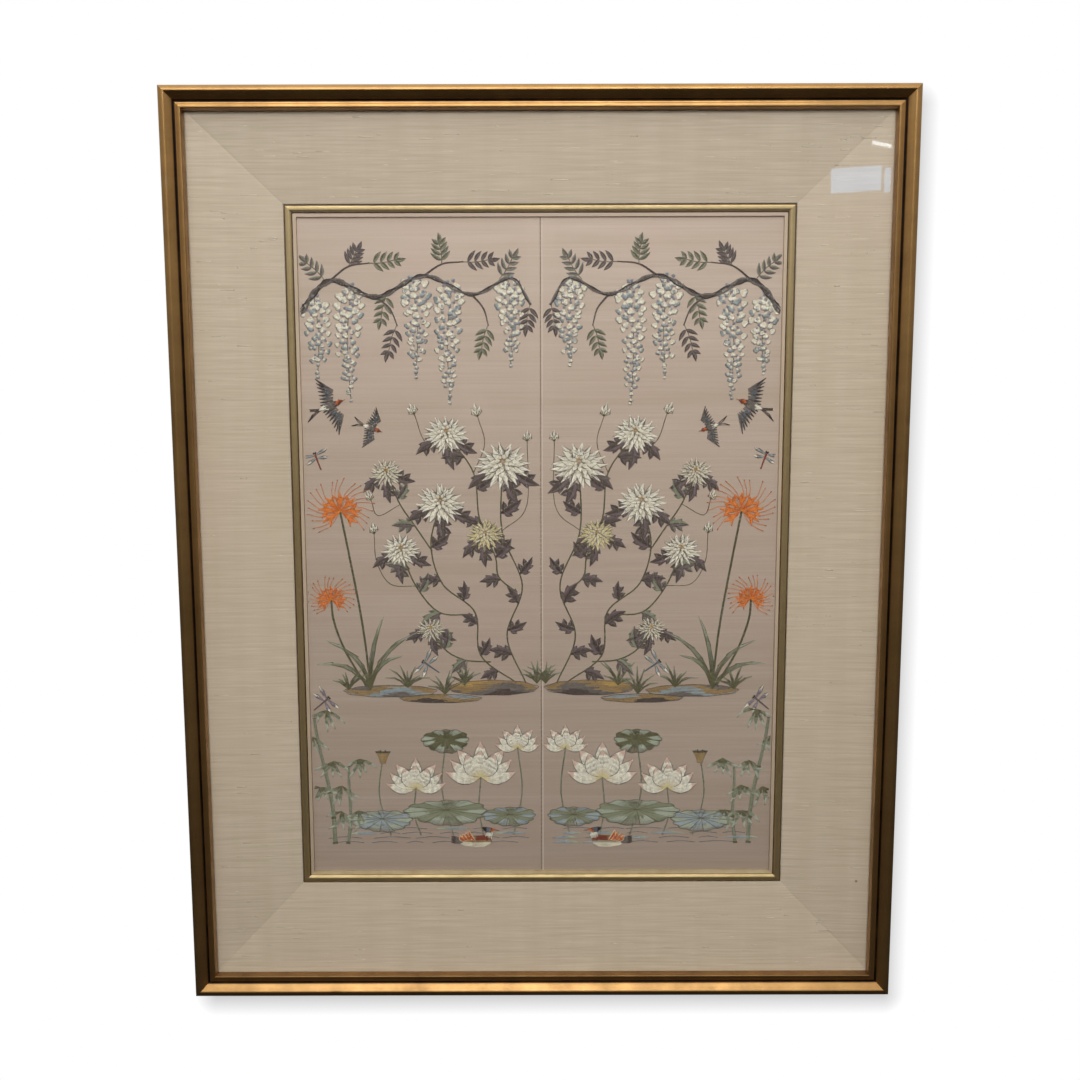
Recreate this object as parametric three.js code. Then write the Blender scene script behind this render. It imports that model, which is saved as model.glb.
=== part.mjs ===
// A pair of embroidered silk panels, sewn together down the middle and framed behind glass.
// Four mitred gilt rails hold the glass, a silk-covered liner that slopes down to a gilt fillet,
// the silk and the backing board. Millimetres, +Z up, the picture faces -Y.
// The origin is the centre of the back, which lies against the wall in the plane y = 0.

import * as THREE from 'three';

// Outer size of the frame, and the clearance that every two pieces keep.
const FRAME_WIDTH = 640;
const FRAME_HEIGHT = 807;
const CLEARANCE = 0.3;

// Rail moulding: u runs inwards from the outer edge, v forwards from the wall.
const RAIL_WIDTH = 18.3;
const RAIL_DEPTH = 30.5;
const RABBET_WALL_U = 13;
const LIP_V = 18.7;
const OUTER_WALL_V = 27.6;
const NOSE = { u: 4.9, edge_u: 2.6, edge_v: 29.95, side_v: 28.7 };
const BEVEL = { u: 6.8, v: 29.2 };
const GROOVE = { u: 11.2, v: 24.8, floor_v: 23.9, width: 1.2 };
const BEAD = { u: 17.3, v: 26.9, inner_v: 26, shoulder_u: 14.2, shoulder_v: 26.1 };

// What lies behind the lip, from the wall forwards.
const BACKING_THICKNESS = 5;
const SILK_THICKNESS = 1.5;
const GLASS_THICKNESS = 2;

// Opening of the liner. It sits a little above the middle, so the lower strip is the widest.
const WINDOW_WIDTH = 443.5;
const WINDOW_HEIGHT = 612;
const WINDOW_RAISE = 4;
const LINER_INNER_V = 11.2;
const LINER_EDGE_RADIUS = 1.2;
const LINER_REBATE = 9;

// Gilt fillet: a bead and a low flat step inside it.
const FILLET_WIDTH = 10;
const FILLET_BEAD = { u: 4.2, v: 12.2, shoulder_v: 10.2, flank_u: 5.4, flank_v: 11.75 };
const FILLET_STEP = { u: 7.2, v: 10.2, inner_v: 10 };

// Silk that runs on under the fillet and the liner, and the grid that carries its ripples.
const SILK_MARGIN = 16;
const SILK_CELLS = { across: 14, down: 38 };
const RIPPLE_FADE = { from: 2, to: 40 };

// Soft ripples of the mounted silk: centre, length and width of each crest, its tilt and height.
const RIPPLES = [
  { x: -150, z: 205, tilt_deg: 12, length: 90, width: 16, height: 0.5 },
  { x: -62, z: 96, tilt_deg: -78, length: 80, width: 14, height: 0.4 },
  { x: -128, z: -62, tilt_deg: 6, length: 110, width: 18, height: 0.6 },
  { x: -104, z: -228, tilt_deg: -8, length: 95, width: 15, height: 0.5 },
  { x: 148, z: 182, tilt_deg: -16, length: 85, width: 17, height: 0.7 },
  { x: 92, z: 62, tilt_deg: 68, length: 90, width: 13, height: 0.5 },
  { x: 132, z: -104, tilt_deg: 4, length: 120, width: 16, height: 0.5 },
  { x: 84, z: -216, tilt_deg: 9, length: 80, width: 18, height: 0.6 },
];

const CURVE_SEGMENTS = 6;

// Sides in the order in which each turns into the next about the Y axis.
const SIDES = [
  { name: 'bottom', turn: 0 },
  { name: 'left', turn: Math.PI / 2 },
  { name: 'top', turn: Math.PI },
  { name: 'right', turn: -Math.PI / 2 },
];

const gilt = new THREE.MeshStandardMaterial({ color: 0x8a6534, roughness: 0.38, metalness: 0.7 });
const gold = new THREE.MeshStandardMaterial({ color: 0xb08d4c, roughness: 0.32, metalness: 0.8 });
const slubSilk = new THREE.MeshStandardMaterial({ color: 0xb3a58c, roughness: 0.75 });
const groundSilk = new THREE.MeshStandardMaterial({ color: 0xaa998a, roughness: 0.55 });
const board = new THREE.MeshStandardMaterial({ color: 0x8f7a5c, roughness: 0.9 });
const clear = new THREE.MeshStandardMaterial({
  color: 0xf2f6f4,
  roughness: 0.05,
  transparent: true,
  opacity: 0.2,
});

const panel = new THREE.Group();

function addMesh(name, geometry, material) {
  const mesh = new THREE.Mesh(geometry, material);
  mesh.name = name;
  panel.add(mesh);
  return mesh;
}

// A rectangle as the distance of each of its sides from the origin, in the order of SIDES.
function reaches(width, height, raise = 0) {
  return [height / 2 - raise, width / 2, height / 2 + raise, width / 2];
}

function inset(reach, by) {
  return reach.map((distance) => distance - by);
}

// One mitred strip between an outer and an inner rectangle. The section is drawn in u and v over
// a nominal width, and its ends follow the line from the outer corner to the inner one.
function mitredStrip(section, nominalWidth, outer, inner, index) {
  const before = (index + 1) % SIDES.length;
  const after = (index + SIDES.length - 1) % SIDES.length;
  const setback = CLEARANCE / Math.SQRT2;
  const geometry = new THREE.ExtrudeGeometry(section, {
    depth: 1,
    bevelEnabled: false,
    curveSegments: CURVE_SEGMENTS,
  });
  const points = geometry.attributes.position;
  for (let i = 0; i < points.count; i += 1) {
    const share = points.getX(i) / nominalWidth;
    const across = (side) => THREE.MathUtils.lerp(outer[side], inner[side], share);
    const atStart = points.getZ(i) < 0.5;
    const along = atStart ? setback - across(before) : across(after) - setback;
    points.setXYZ(i, along, -points.getY(i), -across(index));
  }
  geometry.computeVertexNormals();
  return geometry;
}

function addRing(prefix, section, nominalWidth, outer, inner, material) {
  SIDES.forEach((side, index) => {
    const geometry = mitredStrip(section, nominalWidth, outer, inner, index);
    addMesh(`${prefix}_${side.name}`, geometry, material).rotation.y = side.turn;
  });
}

// Rail section: outer wall, round nose, flat bevel, groove, inner bead and a rabbet behind the lip.
function railSection() {
  const section = new THREE.Shape();
  const beadStart = GROOVE.u + GROOVE.width;
  const bevelRun = (GROOVE.u - BEVEL.u) / (BEVEL.v - GROOVE.v);
  const crestU = BEVEL.u - (RAIL_DEPTH - BEVEL.v) * bevelRun;
  section.moveTo(0, 0);
  section.lineTo(RABBET_WALL_U, 0);
  section.lineTo(RABBET_WALL_U, LIP_V);
  section.lineTo(RAIL_WIDTH, LIP_V);
  section.lineTo(RAIL_WIDTH, BEAD.inner_v);
  section.quadraticCurveTo(RAIL_WIDTH, BEAD.v, BEAD.u, BEAD.v);
  section.quadraticCurveTo((BEAD.u + BEAD.shoulder_u) / 2, BEAD.v, BEAD.shoulder_u, BEAD.shoulder_v);
  section.quadraticCurveTo(beadStart, BEAD.shoulder_v, beadStart, GROOVE.floor_v);
  section.lineTo(GROOVE.u, GROOVE.floor_v);
  section.lineTo(GROOVE.u, GROOVE.v);
  section.lineTo(BEVEL.u, BEVEL.v);
  section.quadraticCurveTo(crestU, RAIL_DEPTH, NOSE.u, RAIL_DEPTH);
  section.quadraticCurveTo((NOSE.u + NOSE.edge_u) / 2, RAIL_DEPTH, NOSE.edge_u, NOSE.edge_v);
  section.quadraticCurveTo(0, NOSE.side_v, 0, OUTER_WALL_V);
  section.closePath();
  return section;
}

// Liner section: a wedge that falls from the glass to the window, with a rebate over the silk.
function linerSection(width, backV, rebateV, outerV) {
  const section = new THREE.Shape();
  section.moveTo(0, backV);
  section.lineTo(width - LINER_REBATE, backV);
  section.lineTo(width - LINER_REBATE, rebateV);
  section.lineTo(width, rebateV);
  section.lineTo(width, LINER_INNER_V - LINER_EDGE_RADIUS);
  section.quadraticCurveTo(width, LINER_INNER_V, width - LINER_EDGE_RADIUS, LINER_INNER_V);
  section.lineTo(0, outerV);
  section.closePath();
  return section;
}

function filletSection(backV) {
  const section = new THREE.Shape();
  const crestU = (FILLET_BEAD.u + FILLET_BEAD.flank_u) / 2;
  section.moveTo(0, backV);
  section.lineTo(FILLET_WIDTH, backV);
  section.lineTo(FILLET_WIDTH, FILLET_STEP.inner_v);
  section.lineTo(FILLET_STEP.u, FILLET_STEP.v);
  section.lineTo(FILLET_BEAD.flank_u, FILLET_BEAD.flank_v);
  section.quadraticCurveTo(crestU, FILLET_BEAD.v, FILLET_BEAD.u, FILLET_BEAD.v);
  section.quadraticCurveTo(0, FILLET_BEAD.v, 0, FILLET_BEAD.shoulder_v);
  section.closePath();
  return section;
}

// Height of the silk's ripples at a point of the picture plane.
function rippleHeight(x, z) {
  let height = 0;
  for (const ripple of RIPPLES) {
    const tilt = THREE.MathUtils.degToRad(ripple.tilt_deg);
    const along = (x - ripple.x) * Math.cos(tilt) + (z - ripple.z) * Math.sin(tilt);
    const off = (z - ripple.z) * Math.cos(tilt) - (x - ripple.x) * Math.sin(tilt);
    const spread = (2 * along / ripple.length) ** 2 + (off / ripple.width) ** 2;
    height += ripple.height * Math.exp(-spread);
  }
  return height;
}

// Ripples die out towards the fillet, which holds the silk down.
function edgeFade(x, z) {
  const gapX = WINDOW_WIDTH / 2 - FILLET_WIDTH - Math.abs(x);
  const gapZ = WINDOW_HEIGHT / 2 - FILLET_WIDTH - Math.abs(z - WINDOW_RAISE);
  return THREE.MathUtils.smoothstep(Math.min(gapX, gapZ), RIPPLE_FADE.from, RIPPLE_FADE.to);
}

function silkPanel(width, height, centreX, centreV) {
  const { across, down } = SILK_CELLS;
  const geometry = new THREE.BoxGeometry(width, SILK_THICKNESS, height, across, 1, down);
  geometry.translate(centreX, -centreV, WINDOW_RAISE);
  const points = geometry.attributes.position;
  for (let i = 0; i < points.count; i += 1) {
    const x = points.getX(i);
    const z = points.getZ(i);
    points.setY(i, points.getY(i) - rippleHeight(x, z) * edgeFade(x, z));
  }
  geometry.computeVertexNormals();
  return geometry;
}

function slab(width, height, backV, thickness) {
  const geometry = new THREE.BoxGeometry(width, thickness, height);
  return geometry.translate(0, -(backV + thickness / 2), 0);
}

// Places worked out from the sizes above.
const silkBackV = BACKING_THICKNESS + CLEARANCE;
const overSilkV = silkBackV + SILK_THICKNESS + CLEARANCE;
const glassBackV = LIP_V - CLEARANCE - GLASS_THICKNESS;
const packWidth = FRAME_WIDTH - 2 * (RABBET_WALL_U + CLEARANCE);
const packHeight = FRAME_HEIGHT - 2 * (RABBET_WALL_U + CLEARANCE);
const frameOuter = reaches(FRAME_WIDTH, FRAME_HEIGHT);
const frameInner = inset(frameOuter, RAIL_WIDTH);
const packOuter = reaches(packWidth, packHeight);
const windowReach = reaches(WINDOW_WIDTH, WINDOW_HEIGHT, WINDOW_RAISE);
const filletOuter = inset(windowReach, CLEARANCE);
const filletInner = inset(filletOuter, FILLET_WIDTH);
const linerWidth = (packWidth - WINDOW_WIDTH) / 2;
const wedge = linerSection(linerWidth, silkBackV, overSilkV, glassBackV - CLEARANCE);
const sightWidth = WINDOW_WIDTH - 2 * (FILLET_WIDTH + CLEARANCE);
const sightHeight = WINDOW_HEIGHT - 2 * (FILLET_WIDTH + CLEARANCE);
const silkWidth = sightWidth / 2 + SILK_MARGIN - CLEARANCE / 2;
const silkHeight = sightHeight + 2 * SILK_MARGIN;
const silkCentreX = (silkWidth + CLEARANCE) / 2;
const silkCentreV = silkBackV + SILK_THICKNESS / 2;

addRing('rail', railSection(), RAIL_WIDTH, frameOuter, frameInner, gilt);
addRing('liner', wedge, linerWidth, packOuter, windowReach, slubSilk);
addRing('fillet', filletSection(overSilkV), FILLET_WIDTH, filletOuter, filletInner, gold);
addMesh('glass', slab(packWidth, packHeight, glassBackV, GLASS_THICKNESS), clear);
addMesh('silk_left', silkPanel(silkWidth, silkHeight, -silkCentreX, silkCentreV), groundSilk);
addMesh('silk_right', silkPanel(silkWidth, silkHeight, silkCentreX, silkCentreV), groundSilk);
addMesh('backing_board', slab(packWidth, packHeight, 0, BACKING_THICKNESS), board);

export default panel;
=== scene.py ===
# Looks of a framed pair of embroidered silk panels: worn gilt rails, a slubbed silk liner, a gilt
# fillet, picture glass, the two silk grounds with their seam, and the embroidery stitch by stitch.
import math

import bpy
import numpy as np
from mathutils import Matrix, Vector


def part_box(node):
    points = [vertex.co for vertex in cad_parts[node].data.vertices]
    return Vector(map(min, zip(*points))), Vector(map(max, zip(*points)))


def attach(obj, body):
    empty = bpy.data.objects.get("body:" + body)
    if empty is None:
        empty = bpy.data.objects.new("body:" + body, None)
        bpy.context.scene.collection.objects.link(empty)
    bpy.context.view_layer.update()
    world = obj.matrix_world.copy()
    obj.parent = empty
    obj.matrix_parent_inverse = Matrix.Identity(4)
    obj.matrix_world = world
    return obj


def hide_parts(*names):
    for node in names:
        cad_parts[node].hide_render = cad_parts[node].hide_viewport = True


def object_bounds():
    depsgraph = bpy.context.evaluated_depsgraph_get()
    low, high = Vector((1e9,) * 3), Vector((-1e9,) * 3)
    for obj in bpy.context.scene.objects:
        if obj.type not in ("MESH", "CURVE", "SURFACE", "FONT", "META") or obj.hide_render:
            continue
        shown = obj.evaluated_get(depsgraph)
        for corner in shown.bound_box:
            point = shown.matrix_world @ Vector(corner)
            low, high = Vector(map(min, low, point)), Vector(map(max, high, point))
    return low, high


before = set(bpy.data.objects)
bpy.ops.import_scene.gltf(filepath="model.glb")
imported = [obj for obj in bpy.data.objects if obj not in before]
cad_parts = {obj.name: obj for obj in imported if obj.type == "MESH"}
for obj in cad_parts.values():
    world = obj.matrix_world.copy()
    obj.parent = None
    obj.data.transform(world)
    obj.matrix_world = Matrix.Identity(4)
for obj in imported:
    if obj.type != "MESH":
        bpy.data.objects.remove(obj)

cad_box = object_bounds()
rng = np.random.default_rng(20)

# Places are in millimetres: x to the right and z up from the frame's middle, v forwards from the wall.
MM = 0.001
SIDES = ("bottom", "left", "top", "right")

# Camera: fitted to the frame's four outer corners in the 1080 px picture.
IMAGE_PX = 1080
FOCAL_PX = 1000
SENSOR_MM = 36
CAMERA_X = -0.9
CAMERA_Z = 117.4
CAMERA_TO_RIM = 872.7
RIM_V = 27.6
PITCH_DEG = 6.366
ROLL_DEG = -0.142

# Rail moulding: u runs inwards from the outer edge.
RABBET_WALL_U = 13
LIP_V = 18.7
OUTER_WALL_V = 27.6
NOSE_U = 4.9
NOSE_EDGE = (2.6, 29.95)
NOSE_SIDE_V = 28.7
BEVEL = (6.8, 29.2)
BEVEL_SWELL = 0.25
GROOVE = (11.2, 24.8)
GROOVE_FLOOR_V = 23.9
GROOVE_WIDTH = 1.2
BEAD_SHOULDER = (14.2, 26.1)
BEAD = (17.3, 26.9)
BEAD_INNER_V = 26

# Liner and fillet.
LINER_INNER_V = 11.2
LINER_EDGE_RADIUS = 1.2
LINER_REBATE = 9
FILLET_BEAD = (4.2, 12.2)
FILLET_FLANK = (5.4, 11.75)
FILLET_SHOULDER_V = 10.2
FILLET_STEP = (7.2, 10.2)
FILLET_STEP_INNER_V = 10

# Setback of each strip's end from the mitre line, and the points on each curve of a section.
MITRE_SETBACK = 0.02
CURVE_STEPS = 10

# Distance between the rows of points along a strip, and how uneven its front is.
RAIL_ROW = 3
FILLET_ROW = 6
LINER_ROW = 2.5
RAIL_UNEVEN = 0.05
LINER_UNEVEN = 0.06
WAVE_LENGTHS = (190, 83, 41, 17)

# Painted light on the fillet's step: how much pale ochre it takes on each side, most at the bottom where
# light falls; and how wide the dark band beside the step lies: toning in its corner, widened on the top and
# sides as painted shade.
SLIP_PAINTED_OCHRE_LIGHT = {"bottom": 1.0, "left": 0.3, "top": 0.0, "right": 0.3}
FILLET_TONING_AND_SHADE = {"bottom": 0.3, "left": 0.9, "top": 0.9, "right": 0.8}

# Painted light on the liner: how much lighter each strip's colour is made, as if its weft caught the light
# from above.
LINER_PAINTED_LIGHT = {"bottom": 0.75, "left": 0.5, "top": 0.2, "right": 0.5}

# Silk grounds: the same soft ripples as the solids, with the seam's valley and its pressed allowance.
SILK_THICKNESS = 1.5
WINDOW_RAISE = 4
RIPPLE_FADE = (2, 40)
SEAM_DIP = 0.35
SEAM_DIP_WIDTH = 0.9
SEAM_ALLOWANCE = 7
SEAM_SWELL = 0.12
# Painted highlight: how far right of the seam the pale line of its pressed fold is painted, in millimetres.
SEAM_HIGHLIGHT_X = 1.2
SEAM_BAND = 4
SEAM_COLUMNS = 8
SILK_COLUMNS = 44
SILK_ROWS = 130

# Painted light: the silk's colour in the window is made lighter from 0.3 m below the middle to 0.3 m above
# it.
SILK_PAINTED_LIGHT_FADE = (-0.3, 0.3, 0.84, 1.24)
RIPPLES = [
    {"x": -150, "z": 205, "tilt_deg": 12, "length": 90, "width": 16, "height": 0.5},
    {"x": -62, "z": 96, "tilt_deg": -78, "length": 80, "width": 14, "height": 0.4},
    {"x": -128, "z": -62, "tilt_deg": 6, "length": 110, "width": 18, "height": 0.6},
    {"x": -104, "z": -228, "tilt_deg": -8, "length": 95, "width": 15, "height": 0.5},
    {"x": 148, "z": 182, "tilt_deg": -16, "length": 85, "width": 17, "height": 0.7},
    {"x": 92, "z": 62, "tilt_deg": 68, "length": 90, "width": 13, "height": 0.5},
    {"x": 132, "z": -104, "tilt_deg": 4, "length": 120, "width": 16, "height": 0.5},
    {"x": 84, "z": -216, "tilt_deg": 9, "length": 80, "width": 18, "height": 0.6},
]

# A small brown stain on the liner.
STAIN = (291, -300)

# Wear on the rails: place along the rail from its middle and across it, reach, depth, and how
# much paler or redder the gilding is rubbed there.
RAIL_WEAR = [
    {"side": "top", "along": -178, "u": 6.5, "reach": 11, "depth": 0.1, "rub": 0.8},
    {"side": "top", "along": -58, "u": 17.5, "reach": 3, "depth": 0.5, "rub": 0.5},
    {"side": "left", "along": -325, "u": 5, "reach": 8, "depth": 0.15, "rub": 0.9},
    {"side": "left", "along": -40, "u": 1.5, "reach": 4, "depth": 0.3, "rub": 0.6},
    {"side": "bottom", "along": -190, "u": 3, "reach": 3.5, "depth": 0.6, "rub": 0.7},
    {"side": "bottom", "along": 158, "u": 6, "reach": 3, "depth": 0.4, "rub": 0.6},
    {"side": "right", "along": 120, "u": 2, "reach": 4, "depth": 0.3, "rub": 0.5},
]


def box_mm(node):
    low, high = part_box(node)
    return np.array(low) / MM, np.array(high) / MM


def ring_reaches(prefix):
    """Distance of each strip's outer and inner edge from the frame's middle, in the order of SIDES."""
    outer, inner = [], []
    for side in SIDES:
        low, high = box_mm(f"{prefix}_{side}")
        axis = 0 if side in ("left", "right") else 2
        near, far = sorted((abs(low[axis]), abs(high[axis])))
        outer.append(far)
        inner.append(near)
    return np.array(outer), np.array(inner)


RAIL_OUTER, RAIL_INNER = ring_reaches("rail")
LINER_OUTER, LINER_INNER = ring_reaches("liner")
FILLET_OUTER, FILLET_INNER = ring_reaches("fillet")
RAIL_WIDTH = float(RAIL_OUTER[0] - RAIL_INNER[0])
RAIL_DEPTH = float(-cad_box[0].y / MM)
LINER_WIDTH = float(LINER_OUTER[1] - LINER_INNER[1])
FILLET_WIDTH = float(FILLET_OUTER[0] - FILLET_INNER[0])
SILK_BACK_V = float(-box_mm("silk_left")[1][1])
SILK_FRONT_V = SILK_BACK_V + SILK_THICKNESS
LINER_BACK_V = float(-box_mm("liner_left")[1][1])
LINER_OUTER_V = float(-box_mm("liner_left")[0][1])
FILLET_BACK_V = float(-box_mm("fillet_left")[1][1])


# Materials

def linear(red, green, blue):
    """A linear RGBA colour from 8-bit sRGB."""
    shares = np.array([red, green, blue]) / 255
    low = shares / 12.92
    high = ((shares + 0.055) / 1.055) ** 2.4
    return (*np.where(shares <= 0.04045, low, high).tolist(), 1.0)


def add_node(tree, kind, inputs=(), **settings):
    made = tree.nodes.new("ShaderNode" + kind)
    for key, value in settings.items():
        setattr(made, key, value)
    for key, value in dict(inputs).items():
        if isinstance(value, bpy.types.NodeSocket):
            tree.links.new(value, made.inputs[key])
        else:
            made.inputs[key].default_value = value
    return made


def new_material(name):
    """A material with an empty node tree, and its output node."""
    material = bpy.data.materials.new(name)
    material.use_nodes = True
    material.node_tree.nodes.clear()
    return material, material.node_tree, add_node(material.node_tree, "OutputMaterial")


def noise(tree, scale_xyz, detail, roughness=0.55):
    """Noise over object coordinates, with features about 1 / scale metres long along each axis."""
    place = add_node(tree, "TexCoord")
    mapped = add_node(tree, "Mapping", {"Vector": place.outputs["Object"], "Scale": scale_xyz})
    inputs = {"Vector": mapped.outputs[0], "Scale": 1, "Detail": detail, "Roughness": roughness}
    return add_node(tree, "TexNoise", inputs).outputs["Fac"]


def remap(tree, value, low, high, to_low=0.0, to_high=1.0):
    names = ("Value", "From Min", "From Max", "To Min", "To Max")
    return add_node(tree, "MapRange", zip(names, (value, low, high, to_low, to_high))).outputs[0]


def mix(tree, share, first, second, blend="MIX"):
    made = add_node(tree, "Mix", data_type="RGBA", blend_type=blend)
    for index, value in ((0, share), (6, first), (7, second)):
        if isinstance(value, bpy.types.NodeSocket):
            tree.links.new(value, made.inputs[index])
        else:
            made.inputs[index].default_value = value
    return made.outputs[2]


def math_node(tree, operation, first, second):
    return add_node(tree, "Math", {0: first, 1: second}, operation=operation).outputs[0]


def bump(tree, height, strength, distance_mm):
    inputs = {"Height": height, "Strength": strength, "Distance": distance_mm * MM}
    return add_node(tree, "Bump", inputs).outputs[0]


def principled(material, tree, output, inputs):
    shader = add_node(tree, "BsdfPrincipled", inputs)
    tree.links.new(shader.outputs[0], output.inputs["Surface"])
    return material


def gilt_material(name, gold, toned, dark, patch_scale, roughness):
    """Worn metal leaf over dark toning; the mesh says how toned and how rubbed each place is. On the fillet
    the tone also holds painted shade.
    """
    material, tree, output = new_material(name)
    tone = add_node(tree, "Attribute", attribute_name="tone").outputs["Fac"]
    rub = add_node(tree, "Attribute", attribute_name="rub").outputs["Fac"]
    patches = noise(tree, (patch_scale,) * 3, 5, 0.65)
    fine = noise(tree, (900, 900, 900), 2)
    shade = math_node(tree, "ADD", tone, remap(tree, patches, 0.35, 0.65, -0.05, 0.05))
    leaf = mix(tree, remap(tree, shade, 0.1, 0.6), gold, toned)
    leaf = mix(tree, remap(tree, shade, 0.6, 1.0), leaf, dark)
    worn = remap(tree, math_node(tree, "ADD", rub, remap(tree, fine, 0.3, 0.7, -0.3, 0.3)), 0.45, 0.75)
    colour = mix(tree, worn, leaf, linear(196, 158, 112))
    return principled(material, tree, output, {
        "Base Color": colour,
        "Metallic": remap(tree, shade, 0.3, 1.0, 1.0, 0.4),
        "Roughness": remap(tree, patches, 0.3, 0.7, roughness - 0.05, roughness + 0.05),
        "Coat Weight": 0.12,
        "Coat Roughness": 0.25,
        "Normal": bump(tree, fine, 0.25, 0.15),
    })


def slip_material():
    """The fillet's flat step: pale ochre painted as light on the sides the mesh says, most at the bottom, and
    else the ground's tone with its painted fade.
    """
    material, tree, output = new_material("fillet_slip")
    cloud = noise(tree, (60, 60, 60), 3)
    place = add_node(tree, "SeparateXYZ", {0: add_node(tree, "TexCoord").outputs["Object"]})
    # Painted light: the ground's tone is made lighter towards the top, as on the silk.
    painted_light_fading = remap(tree, place.outputs["Z"], *SILK_PAINTED_LIGHT_FADE)
    plain = mix(tree, 1.0, linear(176, 156, 142), painted_light_fading, "MULTIPLY")
    ochre = mix(tree, remap(tree, cloud, 0.35, 0.65), linear(198, 177, 142), linear(182, 159, 122))
    # Painted light: the step takes pale ochre where light falls on it, fully on the bottom side and not at
    # all on the top.
    painted_ochre_light = add_node(tree, "Attribute", attribute_name="painted_ochre_light").outputs["Fac"]
    colour = mix(tree, painted_ochre_light, plain, ochre)
    return principled(material, tree, output, {
        "Base Color": colour,
        "Roughness": 0.55,
        "Normal": bump(tree, cloud, 0.2, 0.1),
    })


def raw_wood_material():
    material, tree, output = new_material("raw_wood")
    grain = noise(tree, (220, 220, 220), 4)
    colour = mix(tree, remap(tree, grain, 0.3, 0.7), linear(150, 116, 78), linear(178, 146, 104))
    return principled(material, tree, output, {
        "Base Color": colour,
        "Roughness": 0.8,
        "Normal": bump(tree, grain, 0.3, 0.2),
    })


def slub_silk_material():
    """Natural dupion silk: an uneven weft across the picture, faint warp bands and one small stain."""
    material, tree, output = new_material("slub_silk")
    yarn = noise(tree, (16, 1, 620), 4)
    warp = noise(tree, (900, 1, 60), 2)
    bands = noise(tree, (60, 1, 3), 3)
    slub = remap(tree, noise(tree, (44, 1, 420), 2), 0.66, 0.76)
    cloud = noise(tree, (9, 9, 9), 3)
    colour = mix(tree, remap(tree, yarn, 0.3, 0.7), linear(185, 168, 148), linear(207, 191, 172))
    colour = mix(tree, math_node(tree, "MULTIPLY", slub, 0.3), colour, linear(216, 203, 186))
    colour = mix(tree, remap(tree, bands, 0.4, 0.7, 0.0, 0.35), colour, linear(184, 166, 143))
    colour = mix(tree, remap(tree, cloud, 0.4, 0.75, 0.0, 0.35), colour, linear(198, 177, 160))
    # Painted light: each strip of the liner is made lighter or darker by how the light falls on it.
    strip_painted_light = add_node(tree, "Attribute", attribute_name="strip_painted_light").outputs["Fac"]
    colour = mix(tree, 1.0, colour, remap(tree, strip_painted_light, 0.0, 1.0, 0.88, 1.12), "MULTIPLY")
    place = add_node(tree, "TexCoord").outputs["Object"]
    flat = add_node(tree, "VectorMath", {0: place, 1: (1, 0, 1)}, operation="MULTIPLY").outputs[0]
    spot = (STAIN[0] * MM, 0, STAIN[1] * MM)
    off = add_node(tree, "VectorMath", {0: flat, 1: spot}, operation="DISTANCE").outputs["Value"]
    stained = remap(tree, off, 0.6 * MM, 1.6 * MM, 0.7, 0.0)
    colour = mix(tree, stained, colour, linear(96, 62, 34))
    height = math_node(tree, "ADD", yarn, math_node(tree, "MULTIPLY", warp, 0.35))
    height = math_node(tree, "ADD", height, math_node(tree, "MULTIPLY", slub, 0.5))
    return principled(material, tree, output, {
        "Base Color": colour,
        "Roughness": remap(tree, yarn, 0.3, 0.7, 0.62, 0.52),
        "Sheen Weight": 0.2,
        "Sheen Roughness": 0.4,
        "Normal": bump(tree, height, 0.3, 0.3),
    })


def ground_silk_material():
    """Mauve-taupe plain silk with fine streaks along the weft, painted light that is lighter towards the top,
    and a painted highlight and shadow along the seam.
    """
    material, tree, output = new_material("ground_silk")
    streak = noise(tree, (7, 1, 560), 4, 0.6)
    band = noise(tree, (2.5, 1, 60), 3)
    cloud = noise(tree, (7, 7, 7), 3)
    weave = noise(tree, (1400, 1, 2400), 1)
    colour = mix(tree, remap(tree, streak, 0.3, 0.7), linear(172, 153, 139), linear(186, 167, 155))
    colour = mix(tree, remap(tree, band, 0.4, 0.7, 0.0, 0.5), colour, linear(168, 147, 130))
    colour = mix(tree, remap(tree, cloud, 0.45, 0.8, 0.0, 0.4), colour, linear(182, 158, 147))
    bar = remap(tree, noise(tree, (0.4, 1, 170), 1), 0.66, 0.7, 0.0, 0.3)
    colour = mix(tree, bar, colour, linear(196, 180, 166))
    place = add_node(tree, "SeparateXYZ", {0: add_node(tree, "TexCoord").outputs["Object"]})
    x, z = place.outputs["X"], place.outputs["Z"]
    # Painted light: the colour is made lighter towards the top of the window.
    colour = mix(tree, 1.0, colour, remap(tree, z, *SILK_PAINTED_LIGHT_FADE), "MULTIPLY")
    # Painted highlight on the seam's pressed fold, and a painted shadow in the seam's valley.
    folded = math_node(tree, "ABSOLUTE", math_node(tree, "SUBTRACT", x, SEAM_HIGHLIGHT_X * MM), 0.0)
    colour = mix(tree, remap(tree, folded, 0.3 * MM, 0.8 * MM, 0.5, 0.0), colour, linear(218, 206, 194))
    seam_shade_off = math_node(tree, "ABSOLUTE", x, 0.0)
    colour = mix(tree, remap(tree, seam_shade_off, 0.25 * MM, 0.7 * MM, 0.45, 0.0), colour, linear(96, 78, 66))
    height = math_node(tree, "ADD", streak, math_node(tree, "MULTIPLY", weave, 0.4))
    return principled(material, tree, output, {
        "Base Color": colour,
        "Roughness": remap(tree, streak, 0.3, 0.7, 0.5, 0.42),
        "Specular IOR Level": 0.9,
        "Sheen Weight": 0.2,
        "Sheen Roughness": 0.35,
        "Normal": bump(tree, height, 0.35, 0.12),
    })


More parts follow.
